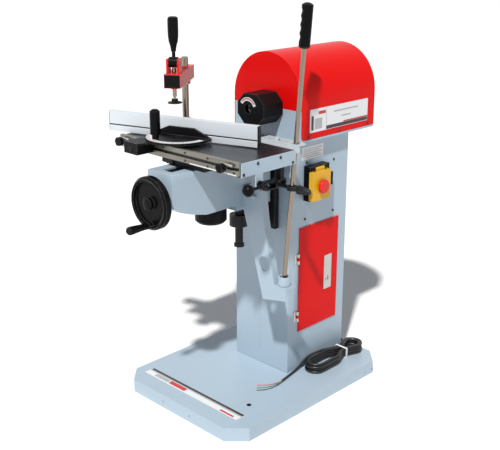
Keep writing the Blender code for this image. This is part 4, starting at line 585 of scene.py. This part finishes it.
def add_skin(mesh, rings):
    """Joins rings of vertices one after another and closes both ends."""
    count = len(rings[0])
    for ring, following in zip(rings, rings[1:]):
        for k in range(count):
            after = (k + 1) % count
            mesh.faces.new((ring[k], ring[after], following[after], following[k]))
    mesh.faces.new(rings[0])
    mesh.faces.new(rings[-1])


def add_turned(mesh, profile, axis, centre, steps=TURNED_STEPS):
    """Adds a form turned round an axis through a centre, from its (radius, place along the axis)."""
    rings = []
    for radius, along in profile:
        rings.append([mesh.verts.new(on_axis(axis, along, centre[0] + a, centre[1] + b))
                      for a, b in circle(radius, steps)])
    add_skin(mesh, rings)


def add_lofted(mesh, rings, place):
    """Adds a closed skin through rings of (height, points), each point put in place by a matrix."""
    add_skin(mesh, [[mesh.verts.new(place @ Vector((x, y, height))) for x, y in points]
                    for height, points in rings])


def add_prism(mesh, outline, axis, low, high):
    """Adds a closed outline, given in the other two axes in order, extruded along an axis."""
    near, far = [[mesh.verts.new(on_axis(axis, level, a, b)) for a, b in outline] for level in (low, high)]
    mesh.faces.new(near)
    mesh.faces.new(list(reversed(far)))
    for k in range(len(outline)):
        after = (k + 1) % len(outline)
        mesh.faces.new((near[after], near[k], far[k], far[after]))


def plain(left, right, low, high):
    return ((left, low), (right, low), (right, high), (left, high))


def rounded(left, right, low, high, radius, steps=CORNER_STEPS):
    """A rectangle with rounded corners."""
    points = []
    for cx, cy, start in ((right - radius, low + radius, -90), (right - radius, high - radius, 0),
                          (left + radius, high - radius, 90), (left + radius, low + radius, 180)):
        for k in range(steps + 1):
            angle = math.radians(start + 90 * k / steps)
            points.append((cx + radius * math.cos(angle), cy + radius * math.sin(angle)))
    return points


def band(centre, radius, half, start, end, steps):
    """A curved band round a centre, from one angle to another."""
    points = []
    for edge, order in ((radius + half, 1), (radius - half, -1)):
        run = []
        for k in range(steps + 1):
            angle = math.radians(start + (end - start) * k / steps)
            run.append((centre[0] + edge * math.cos(angle), centre[1] + edge * math.sin(angle)))
        points += run[::order]
    return points


def turned_plan(points, angle, pivot):
    """Points turned by an angle and set round a pivot."""
    c, s = math.cos(angle), math.sin(angle)
    return [(pivot[0] + x * c - y * s, pivot[1] + x * s + y * c) for x, y in points]


def make_camera():
    yaw, pitch = math.radians(CAMERA_YAW), math.radians(CAMERA_PITCH)
    data = bpy.data.cameras.new("camera")
    data.lens = CAMERA_LENS
    data.sensor_width = CAMERA_SENSOR
    data.clip_start = CAMERA_NEAR
    data.clip_end = CAMERA_FAR
    camera = linked(bpy.data.objects.new("camera", data))
    camera.location = CAMERA_PLACE
    look = Vector((-math.sin(yaw) * math.cos(pitch), math.cos(yaw) * math.cos(pitch), -math.sin(pitch)))
    camera.rotation_mode = "QUATERNION"
    camera.rotation_quaternion = look.to_track_quat("-Z", "Y")
    bpy.context.scene.camera = camera


def through(points, spacing=CORD_SPACING):
    """Even points on a smooth curve through the given ones, whose first and last runs stay straight."""
    guides = [Vector(p) for p in points]
    fine = []
    for k in range(1, len(guides) - 2):
        a, b, c, d = guides[k - 1:k + 3]
        for step in range(CURVE_STEPS):
            t = step / CURVE_STEPS
            bend = (2 * a - 5 * b + 4 * c - d) * t * t + (3 * b - a - 3 * c + d) * t ** 3
            fine.append(0.5 * (2 * b + (c - a) * t + bend))
    fine.append(guides[-2])
    lengths = [0.0]
    for first, second in zip(fine, fine[1:]):
        lengths.append(lengths[-1] + (second - first).length)
    count = max(2, round(lengths[-1] / spacing))
    even, index = [], 0
    for k in range(count + 1):
        goal = lengths[-1] * k / count
        while index < len(fine) - 2 and lengths[index + 1] < goal:
            index += 1
        share = (goal - lengths[index]) / (lengths[index + 1] - lengths[index])
        even.append(fine[index].lerp(fine[index + 1], share))
    return [guides[0]] + even + [guides[-1]]


def hank_marks():
    """The stations of one turn of the hank: its left run, front end, right run and back end."""
    marks = [("left", share) for share in reversed(HANK_RUN_SHARES)]
    marks += [("front", 180 + 180 * k / HANK_END_STEPS) for k in range(1, HANK_END_STEPS)]
    marks += [("right", share) for share in HANK_RUN_SHARES]
    marks += [("back", 180 * k / HANK_END_STEPS) for k in range(HANK_END_STEPS)]
    marks.append(("left", 1.0))
    return marks


def hank_place(mark, wide):
    """Where a station lies when its turn is so many pitches wider than the innermost one."""
    kind, value = mark
    radius = HANK_END_RADIUS + wide * HANK_PITCH
    if kind in ("front", "back"):
        middle = HANK_FRONT if kind == "front" else HANK_BACK
        angle = math.radians(value)
        return HANK_X + radius * math.cos(angle), middle + radius * math.sin(angle)
    y = HANK_FRONT + (HANK_BACK - HANK_FRONT) * value
    away = min(1.0, abs(y - HANK_WAIST_Y) / HANK_WAIST_REACH)
    drawn = math.cos(math.pi / 2 * away) ** 2
    half = radius * (1 - drawn) + (HANK_WAIST_HALF + wide * HANK_WAIST_PITCH) * drawn
    return (HANK_X - half, y) if kind == "left" else (HANK_X + half, y)


def hank_points():
    """The hank's turns, which lie in layers that wind inwards and outwards by turns."""
    marks = hank_marks()
    around = len(marks)
    first = marks.index(("left", HANK_START_SHARE))
    points = []
    for k in range(round(HANK_LAYERS * HANK_LAYER_TURNS * around) + 1):
        turn = k / around
        layer = min(HANK_LAYERS - 1, int(turn / HANK_LAYER_TURNS))
        inside = turn - layer * HANK_LAYER_TURNS
        wide = HANK_LAYER_TURNS - inside if layer % 2 == 0 else inside
        height = layer
        for edge in range(1, HANK_LAYERS):
            near = turn - edge * HANK_LAYER_TURNS
            if abs(near) < HANK_STEP_TURNS:
                height = edge - 0.5 + near / (2 * HANK_STEP_TURNS)
        x, y = hank_place(marks[(first + k) % around], wide)
        points.append(Vector((x, y, BASE_HEIGHT + HANK_LIFT + height * HANK_RISE)))
    return points


def tube(name, points, radius, material, body):
    curve = bpy.data.curves.new(name, "CURVE")
    curve.dimensions = "3D"
    curve.bevel_depth = radius
    curve.bevel_resolution = TUBE_FINENESS
    curve.use_fill_caps = True
    spline = curve.splines.new("POLY")
    spline.points.add(len(points) - 1)
    for point, place in zip(spline.points, points):
        point.co = (*place, 1.0)
    spline.use_smooth = True
    return linked(bpy.data.objects.new(name, curve), material, body)


def cord_points():
    """The whole route: the lead from the gland, the hank and the tail."""
    hank = hank_points()
    into = (hank[1] - hank[0]).normalized()
    out = (hank[-1] - hank[-2]).normalized()
    straight = 2 * CORD_RADIUS
    lead = through(list(LEAD_ROUTE) + [hank[0] - into * straight, hank[0]])
    tail = through([hank[-1], hank[-1] + out * straight] + list(TAIL_ROUTE))
    return lead[:-1] + through([hank[0]] + hank + [hank[-1]])[1:-1] + tail[1:]


def make_core(colour, route, material):
    """One bared core, with a short strand of copper at its end."""
    start = Vector(route[0])
    root = start + (start - Vector(route[1])).normalized() * CORE_ROOT
    core = tube("core_" + colour, through([root] + list(route), CORE_SPACING), CORE_RADIUS, material, "frame")
    tip = Vector(route[-1])
    end = (tip - Vector(route[-2])).normalized()
    strand = tube("strand_" + colour, [tip - end * STRAND_HIDDEN, tip + end * STRAND_SHOWN],
                  CORE_RADIUS * STRAND_SHARE, bare_copper(), "frame")
    return [core, strand]


def make_cord():
    cord = tube("power_cord", cord_points(), CORD_RADIUS, cord_sheath(), "frame")
    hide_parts("cord_lead", "cord_hank", "cord_tail")
    cores = []
    for colour, material in (("red", pink_core()), ("green", green_core()), ("black", cord_sheath())):
        cores += make_core(colour, CORE_ROUTES[colour], material)
    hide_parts("cord_cores")
    tie = dressed("cord_tie", "frame", pale_vinyl(), TIE_SOFTENING)


# The finish, slot in the record and softened edge of each node that is carried over
LOOKS = (
    (grey_enamel, "grey_paint", 0.0016,
     ("base_tray", "column", "head_tray", "knee", "side_plate", "lever_bracket", "lever_cup")),
    (red_enamel, "red_paint", 0.0009, ("door_leaf", "hood", "clamp_arm")),
    (black_iron, "dark_metal", 0.0006,
     ("motor", "column_slide", "lift_nut", "lift_screw", "saddle", "link_guide", "link_rod")),
    (ground_iron, "dark_metal", 0.0008, ("table_top",)),
    (satin_steel, "bare_steel", 0.0005,
     ("hinge_lower", "hinge_upper", "lock_plate", "lock_core", "spindle_shaft", "chuck", "stop_block_left",
      "stop_block_right", "clamp_collar")),
    (chrome_with_painted_reflection, "chrome", 0.0005, ("clamp_post", "clamp_plunger")),
    (brushed_aluminium, "aluminium", 0.0006, ("fence",)),
    (dull_aluminium, "aluminium", 0.0006, ("rear_rail", "slot_plate")),
    (rail_steel, "aluminium", 0.0005, ("front_rail",)),
    (black_moulding, "black_plastic", 0.0010,
     ("base_plug", "chuck_guard", "switch_box", "screw_cover", "protractor", "swivel", "clamp_foot",
      "lever_ball", "cable_gland")),
    (dark_grip, "black_plastic", 0.0008,
     ("handwheel", "lock_lever", "stop_knob_left", "stop_knob_right", "fence_lock", "clamp_cam")),
    (yellow_moulding, "yellow_plastic", 0.0020, ("switch_flap",)),
    (red_moulding, "red_plastic", 0.0012, ("stop_button",)),
    (green_moulding, "green_plastic", 0.0006, ("start_button",)),
)


def body_of(node):
    for body, nodes in frame["record"]["behaviour"]["bodies"].items():
        if node in nodes:
            return body
    return "frame"


def dress_nodes():
    for material, slot, width, nodes in LOOKS:
        for node in nodes:
            dressed(node, body_of(node), material(), width)


def lever_place():
    """The lever's own frame at rest: up along its bar from the middle of its ball."""
    lean = Matrix.Rotation(math.radians(LEVER_LEAN), 4, "X")
    return Matrix.Translation(joint_place("lever_side")) @ lean


def make_lever_rod():
    """The lever's bar with its narrowed foot."""
    profile = ((LEVER_TIP_RADIUS, LEVER_FOOT_START), (LEVER_FOOT_RADIUS, 0.0),
               (LEVER_FOOT_RADIUS, LEVER_FOOT_END), (LEVER_SHOULDER_RADIUS, LEVER_SHOULDER_HEIGHT),
               (LEVER_ROD_RADIUS, LEVER_ROD_START), (LEVER_ROD_RADIUS, LEVER_ROD_END))
    mesh = bmesh.new()
    add_lofted(mesh, [(height, circle(radius, TURNED_STEPS)) for radius, height in profile], lever_place())
    rod = from_bmesh("lever_rod_body", mesh, chrome_with_painted_reflection(), "lever")
    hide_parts("lever_rod")


def grip_fullness(share):
    """How full the lever's grip is along its length: rounded at its foot and domed at its end."""
    least = GRIP_DOME_LEAST_SHARE if share > 0.5 else GRIP_FOOT_LEAST_SHARE
    foot = (share / GRIP_FOOT_SHARE) ** GRIP_FOOT_ROUNDING
    dome = ((1 - share) / GRIP_DOME_SHARE) ** GRIP_DOME_ROUNDING
    return max(least, min(1.0, foot, dome))


def grip_hollow(share):
    """How deep the finger hollows are along the grip's length."""
    if not HOLLOW_START_SHARE < share < HOLLOW_END_SHARE:
        return 0.0
    return HOLLOW_DEPTH * (0.5 - 0.5 * math.cos(math.tau * (share - HOLLOW_START_SHARE) / HOLLOW_PITCH_SHARE))


def make_lever_grip():
    """The lever's straight grip, with finger hollows down one side and a domed end."""
    rings = []
    for k in range(GRIP_RINGS + 1):
        share = k / GRIP_RINGS
        points = []
        for step in range(GRIP_SIDES):
            angle = math.tau * step / GRIP_SIDES
            facing = max(0.0, math.cos(angle - math.radians(HOLLOW_FACING))) ** HOLLOW_NARROWING
            size = GRIP_RADIUS * grip_fullness(share) - grip_hollow(share) * facing
            points.append((size * math.cos(angle), size * math.sin(angle)))
        rings.append((GRIP_START + (GRIP_END - GRIP_START) * share, points))
    mesh = bmesh.new()
    add_lofted(mesh, rings, lever_place())
    grip = from_bmesh("lever_grip_body", mesh, dark_grip(), "lever")
    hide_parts("lever_grip")


def make_clamp_handle():
    """The clamp's tapering grip on its stem."""
    x, y, pin = joint_place("clamp_cam_turn")
    mesh = bmesh.new()
    add_turned(mesh, [(radius, pin + height) for radius, height in CLAMP_HANDLE_PROFILE], "Z", (x, y),
               CLAMP_HANDLE_STEPS)
    from_bmesh("clamp_handle", mesh, dark_grip(), "clamp_cam")


def make_crank_grip():
    """The handwheel's revolving grip, swelling towards its free end."""
    x, _, z = joint_place("crank_grip_turn")
    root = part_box("crank_grip")[1][1]
    mesh = bmesh.new()
    add_turned(mesh, [(radius, root - out) for radius, out in CRANK_GRIP_PROFILE], "Y", (x, z))
    grip = from_bmesh("crank_grip_body", mesh, dark_grip(), "crank_grip")
    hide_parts("crank_grip")


def sticker(name, outline, axis, low, high, material, body="frame"):
    mesh = bmesh.new()
    add_prism(mesh, outline, axis, low, high)
    return from_bmesh(name, mesh, material, body)


def field(corner, sides, radius=LABEL_CORNER, steps=CORNER_STEPS):
    """A rounded field whose (left, right, low, high) are measured from a label's corner."""
    left, right, low, high = sides
    return rounded(corner[0] + left, corner[0] + right, corner[1] + low, corner[1] + high, radius, steps)


def make_hood_label():
    (_, front, foot), (side, _, _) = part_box("hood")
    corner = (front + HOOD_LABEL_PLACE[0], foot + HOOD_LABEL_PLACE[1])
    back = side + SURFACE_GAP
    face = back + LABEL_THICKNESS
    printed = (face, face + PRINT_THICKNESS)
    sticker("hood_label", field(corner, HOOD_LABEL, HOOD_LABEL_CORNER), "X", back, face, pale_vinyl())
    sticker("hood_label_band", field(corner, HOOD_LABEL_BAND), "X", *printed, dark_vinyl_print_and_painted_shade())
    sticker("hood_label_stripe", field(corner, HOOD_LABEL_STRIPE), "X", *printed, red_vinyl())
    sticker("hood_label_square", field(corner, HOOD_LABEL_SQUARE), "X", *printed, grey_vinyl())
    sticker("hood_label_bar", field(corner, HOOD_LABEL_BAR), "X", *printed, red_vinyl())
    sticker("hood_label_edge", field(corner, HOOD_LABEL_EDGE), "X", *printed, dark_vinyl_print_and_painted_shade())
    sticker("hood_label_divide", field(corner, HOOD_LABEL_DIVIDE, HOOD_DIVIDE_CORNER), "X", *printed,
            grey_vinyl())
    lines = bmesh.new()
    for sides in HOOD_LABEL_LINES:
        add_prism(lines, field(corner, sides, LABEL_CORNER, LINE_CORNER_STEPS), "X", *printed)
    from_bmesh("hood_label_lines", lines, grey_vinyl(), "frame")


def make_info_label():
    """The small label above the switch, with plain bars in the place of its lines."""
    (_, front, foot), (side, _, _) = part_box("column")
    corner = (front + INFO_LABEL_PLACE[0], foot + INFO_LABEL_PLACE[1])
    back = side + CLOSE_GAP
    face = back + LABEL_THICKNESS
    sticker("info_label", field(corner, INFO_LABEL, INFO_LABEL_CORNER), "X", back, face, pale_vinyl())
    left, right, low, high = INFO_LINE
    lines = bmesh.new()
    for k in range(INFO_LINES):
        start = left + INFO_FIRST_INDENT * (k == 0)
        end = right - INFO_SHORT_END * (k % 2)
        rise = INFO_LINE_PITCH * k
        outline = field(corner, (start, end, low + rise, high + rise), INFO_LINE_CORNER, LINE_CORNER_STEPS)
        add_prism(lines, outline, "X", face, face + PRINT_THICKNESS)
    from_bmesh("info_label_lines", lines, grey_vinyl(), "frame")


def make_base_strip():
    """The strip along the front of the base."""
    (left, front, _), (_, _, top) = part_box("base_tray")
    corner = (left + BASE_STRIP_PLACE[0], front + BASE_STRIP_PLACE[1])
    back = top + CLOSE_GAP
    face = back + LABEL_THICKNESS
    printed = (face, face + PRINT_THICKNESS)
    sticker("base_strip", field(corner, BASE_STRIP), "Z", back, face, pale_vinyl())
    sticker("base_strip_band", field(corner, BASE_STRIP_BAND), "Z", *printed, dark_vinyl_print_and_painted_shade())
    sticker("base_strip_shade", field(corner, BASE_STRIP_SHADE), "Z", *printed, grey_vinyl())
    sticker("base_strip_block", field(corner, BASE_STRIP_BLOCK), "Z", *printed, red_vinyl())
    sticker("base_strip_bar", field(corner, BASE_STRIP_BAR), "Z", *printed, grey_vinyl())
    sticker("base_strip_end", field(corner, BASE_STRIP_END), "Z", *printed, red_vinyl())


def make_guard_label():
    """The curved label over the mouth of the chuck's guard."""
    x, _, z = joint_place("spindle_spin")
    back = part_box("chuck_guard")[0][1] - SURFACE_GAP
    face = back - GUARD_LABEL_THICKNESS
    label = band((x, z), GUARD_LABEL_RADIUS, GUARD_LABEL_HALF, *GUARD_LABEL_SWEEP, GUARD_LABEL_STEPS)
    arc = band((x, z), GUARD_ARC_RADIUS, GUARD_ARC_HALF, *GUARD_ARC_SWEEP, GUARD_ARC_STEPS)
    sticker("guard_label", label, "Y", face, back, pale_vinyl())
    sticker("guard_label_arc", arc, "Y", face - PRINT_THICKNESS, face, red_vinyl())


def make_keyhole():
    # A dark sticker of painted shade in the place of the keyhole
    _, y, z = joint_place("lock_turn")
    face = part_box("lock_core")[1][0] + KEYHOLE_RISE
    wide, tall = KEYHOLE_HALF
    outline = rounded(y - wide, y + wide, z - tall, z + tall, KEYHOLE_CORNER, FEW_CORNER_STEPS)
    sticker("lock_keyhole_painted_shade", outline, "X", face, face + PRINT_THICKNESS, dark_vinyl_print_and_painted_shade(), "lock")


def make_labels():
    """Bare labels: coloured fields without words, in the places of the real ones, with the keyhole as a dark patch
    of painted shade, and the column's seam.
    """
    make_hood_label()
    make_info_label()
    make_base_strip()
    make_guard_label()
    make_keyhole()
    sticker("column_seam", rounded(*SEAM, SEAM_CORNER, LINE_CORNER_STEPS), "Y", *SEAM_LEVELS, grey_vinyl())


def make_case_screws():
    """Raised heads along both sides of the hood and on the side of the column, with dark crosses of painted shade
    in the place of their slots.
    """
    (_, _, foot), (hood_side, _, _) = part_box("hood")
    column_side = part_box("column")[1][0]
    height = foot + HOOD_SCREW_RISE
    places = [(sign, hood_side, y, height) for sign in (1, -1) for y in HOOD_SCREWS_Y]
    places += [(1, column_side, y, z) for y, z in COLUMN_SCREWS]
    heads, slot_shade = bmesh.new(), bmesh.new()
    for sign, side, y, z in places:
        face = side + SURFACE_GAP
        add_turned(heads, [(radius, sign * (face + out)) for radius, out in CASE_SCREW_PROFILE], "X", (y, z),
                   CASE_SCREW_STEPS)
        near, far = sorted(sign * (face + level) for level in CROSS_LEVELS)
        level_bar = plain(y - CROSS_REACH, y + CROSS_REACH, z - CROSS_HALF, z + CROSS_HALF)
        upright_bar = plain(y - CROSS_HALF, y + CROSS_HALF, z - CROSS_REACH, z + CROSS_REACH)
        add_prism(slot_shade, level_bar, "X", near, far)
        add_prism(slot_shade, upright_bar, "X", near - CROSS_OVERRUN, far + CROSS_OVERRUN)
    from_bmesh("case_screws", heads, black_iron(), "frame")
    from_bmesh("case_screw_slot_shade", slot_shade, dark_vinyl_print_and_painted_shade(), "frame")


def make_table_screws():
    """Round heads on the table's side plate and along its front rail."""
    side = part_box("side_plate")[1][0] - TABLE_SCREW_SUNK
    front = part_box("front_rail")[0][1] - CLOSE_GAP
    buttons = bmesh.new()
    for y, z in SIDE_SCREWS:
        add_turned(buttons, [(radius, side + out) for radius, out in TABLE_SCREW_PROFILE], "X", (y, z),
                   TABLE_SCREW_STEPS)
    upper, lower = RAIL_SCREW_LEVELS
    small = [(radius * RAIL_SCREW_WIDTH_SHARE, front - out * RAIL_SCREW_HEIGHT_SHARE)
             for radius, out in TABLE_SCREW_PROFILE]
    for x, z in [(x, upper) for x in RAIL_SCREWS_UPPER_X] + [(x, lower) for x in RAIL_SCREWS_LOWER_X]:
        add_turned(buttons, small, "Y", (x, z), TABLE_SCREW_STEPS)
    from_bmesh("table_screws", buttons, black_iron(), "table")


def fence_plan(points):
    """Points in the fence's own directions, set round its pivot."""
    return turned_plan(points, math.radians(FENCE_ANGLE), joint_place("fence_swivel")[:2])


def make_scale():
    """The scale round the swivel's edge, with its ticks, of which each fourth is a red mark."""
    top = joint_place("fence_swivel")[2] + SCALE_RISE
    ring = bmesh.new()
    outline = band((0, 0), SCALE_RADIUS, SCALE_HALF, SCALE_START, SCALE_END, SCALE_STEPS)
    add_prism(ring, fence_plan(outline), "Z", top - SCALE_THICKNESS, top)
    from_bmesh("scale_band", ring, pale_vinyl(), "fence")
    ticks, marks = bmesh.new(), bmesh.new()
    for k in range(-TICKS_EACH_WAY, TICKS_EACH_WAY + 1):
        turn = math.radians(TICK_MIDDLE + TICK_PITCH * k)
        inner = TICK_INNER_LONG if k % 2 == 0 else TICK_INNER_SHORT
        marked = k % MARK_EVERY == 0
        half = MARK_HALF if marked else TICK_HALF
        tick = turned_plan(plain(inner, TICK_OUTER, -half, half), turn, (0, 0))
        add_prism(marks if marked else ticks, fence_plan(tick), "Z", top, top + TICK_THICKNESS)
    from_bmesh("scale_ticks", ticks, dark_vinyl_print_and_painted_shade(), "fence")
    from_bmesh("scale_marks", marks, red_vinyl(), "fence")


def make_fence_caps():
    """The fence's end caps, and a dark strip of painted shade along its groove."""
    (_, _, foot), (_, _, top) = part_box("fence")
    caps = bmesh.new()
    for near, far in ((FENCE_LEFT - CAP_GAP - CAP_THICKNESS, FENCE_LEFT - CAP_GAP),
                      (FENCE_RIGHT + CAP_GAP, FENCE_RIGHT + CAP_GAP + CAP_THICKNESS)):
        outline = rounded(near, far, FENCE_FRONT + CAP_INSET, FENCE_REAR - CAP_INSET, CAP_CORNER,
                          FEW_CORNER_STEPS)
        add_prism(caps, fence_plan(outline), "Z", foot + CAP_FOOT_INSET, top - CAP_INSET)
    from_bmesh("fence_caps", caps, black_moulding(), "fence")
    painted_groove_shade = rounded(FENCE_LEFT + GROOVE_INSET, FENCE_RIGHT - GROOVE_INSET, FENCE_FRONT + GROOVE_DEPTHS[0],
                     FENCE_FRONT + GROOVE_DEPTHS[1], GROOVE_CORNER, 1)
    groove = bmesh.new()
    add_prism(groove, fence_plan(painted_groove_shade), "Z", *GROOVE_LEVELS)
    from_bmesh("fence_groove_painted_shade", groove, dark_vinyl_print_and_painted_shade(), "fence")


def make_arm_plug():
    """The plug in the open end of the clamp's arm."""
    outline = rounded(*ARM_PLUG, ARM_PLUG_CORNER, FEW_CORNER_STEPS)
    plug = bmesh.new()
    add_prism(plug, turned_plan(outline, math.radians(CLAMP_SWING), joint_place("clamp_arm_swing")[:2]), "Z",
              *ARM_PLUG_LEVELS)
    from_bmesh("clamp_arm_plug", plug, black_moulding(), "clamp_arm", ARM_PLUG_SOFTENING)


def make_rail_trim():
    """A dark strip of painted shade in the front rail's groove, and the pale rule along the rail's foot."""
    # A thin dark sheet on the rail's face that stands for the shade in its groove
    painted_groove_shade = bmesh.new()
    add_prism(painted_groove_shade, plain(*RAIL_GROOVE_SHADE), "X", -RAIL_GROOVE_SHADE_HALF, RAIL_GROOVE_SHADE_HALF)
    from_bmesh("rail_groove_painted_shade", painted_groove_shade, dark_vinyl_print_and_painted_shade(), "table")
    rule = bmesh.new()
    add_prism(rule, rounded(*RAIL_RULE, RAIL_RULE_CORNER, LINE_CORNER_STEPS), "X", *RAIL_RULE_ENDS)
    from_bmesh("rail_rule", rule, pale_vinyl(), "table")


def make_floor():
    mesh = bmesh.new()
    add_prism(mesh, plain(-FLOOR_HALF, FLOOR_HALF, -FLOOR_HALF, FLOOR_HALF), "Z", *FLOOR_LEVELS)
    data = bpy.data.meshes.new("floor")
    mesh.to_mesh(data)
    mesh.free()
    floor = linked(bpy.data.objects.new("floor", data), floor_paint())


def aimed(lamp, direction):
    """Links a lamp and points it in a direction."""
    lamp.rotation_mode = "QUATERNION"
    lamp.rotation_quaternion = Vector(direction).to_track_quat("-Z", "Y")
    return linked(lamp)


def make_lamps():
    """One sun from the photograph's side, and two large soft lamps that fill in the shade."""
    sun = bpy.data.lights.new("sun", "SUN")
    sun.energy = SUN_STRENGTH
    sun.angle = math.radians(SUN_SPREAD)
    sun.color = SUN_COLOUR
    aimed(bpy.data.objects.new("sun", sun), SUN_TRAVEL)
    for name, place, power in FILLS:
        fill = bpy.data.lights.new(name, "AREA")
        fill.energy = power
        fill.size = FILL_SIZE
        lamp = aimed(bpy.data.objects.new(name, fill), Vector(FILL_AIM) - Vector(place))
        lamp.location = place


def greater(nodes, links, first, second):
    """The greater of two outputs, as an output."""
    chosen = nodes.new("ShaderNodeMath")
    chosen.operation = "MAXIMUM"
    links.new(first, chosen.inputs[0])
    links.new(second, chosen.inputs[1])
    return chosen.outputs[0]


def make_world():
    """A dim sky that lights the object, and plain white where the camera, gloss and glass look past it."""
    world = bpy.data.worlds.new("studio")
    bpy.context.scene.world = world
    world.use_nodes = True
    nodes, links = world.node_tree.nodes, world.node_tree.links
    nodes.clear()
    seen = nodes.new("ShaderNodeBackground")
    seen.inputs["Color"].default_value = (1, 1, 1, 1)
    seen.inputs["Strength"].default_value = 1.0
    sky = nodes.new("ShaderNodeBackground")
    sky.inputs["Color"].default_value = SKY_COLOUR
    sky.inputs["Strength"].default_value = SKY_STRENGTH
    path = nodes.new("ShaderNodeLightPath")
    shown = greater(nodes, links, path.outputs["Is Camera Ray"], path.outputs["Is Glossy Ray"])
    shown = greater(nodes, links, shown, path.outputs["Is Transmission Ray"])
    mix = nodes.new("ShaderNodeMixShader")
    links.new(shown, mix.inputs[0])
    links.new(sky.outputs[0], mix.inputs[1])
    links.new(seen.outputs[0], mix.inputs[2])
    out = nodes.new("ShaderNodeOutputWorld")
    links.new(mix.outputs[0], out.inputs["Surface"])
    bpy.context.scene.view_settings.view_transform = "Standard"


make_camera()
make_cord()
dress_nodes()
make_lever_rod()
make_lever_grip()
make_clamp_handle()
make_crank_grip()
make_labels()
make_case_screws()
make_table_screws()
make_scale()
make_fence_caps()
make_arm_plug()
make_rail_trim()
make_floor()
make_lamps()
make_world()
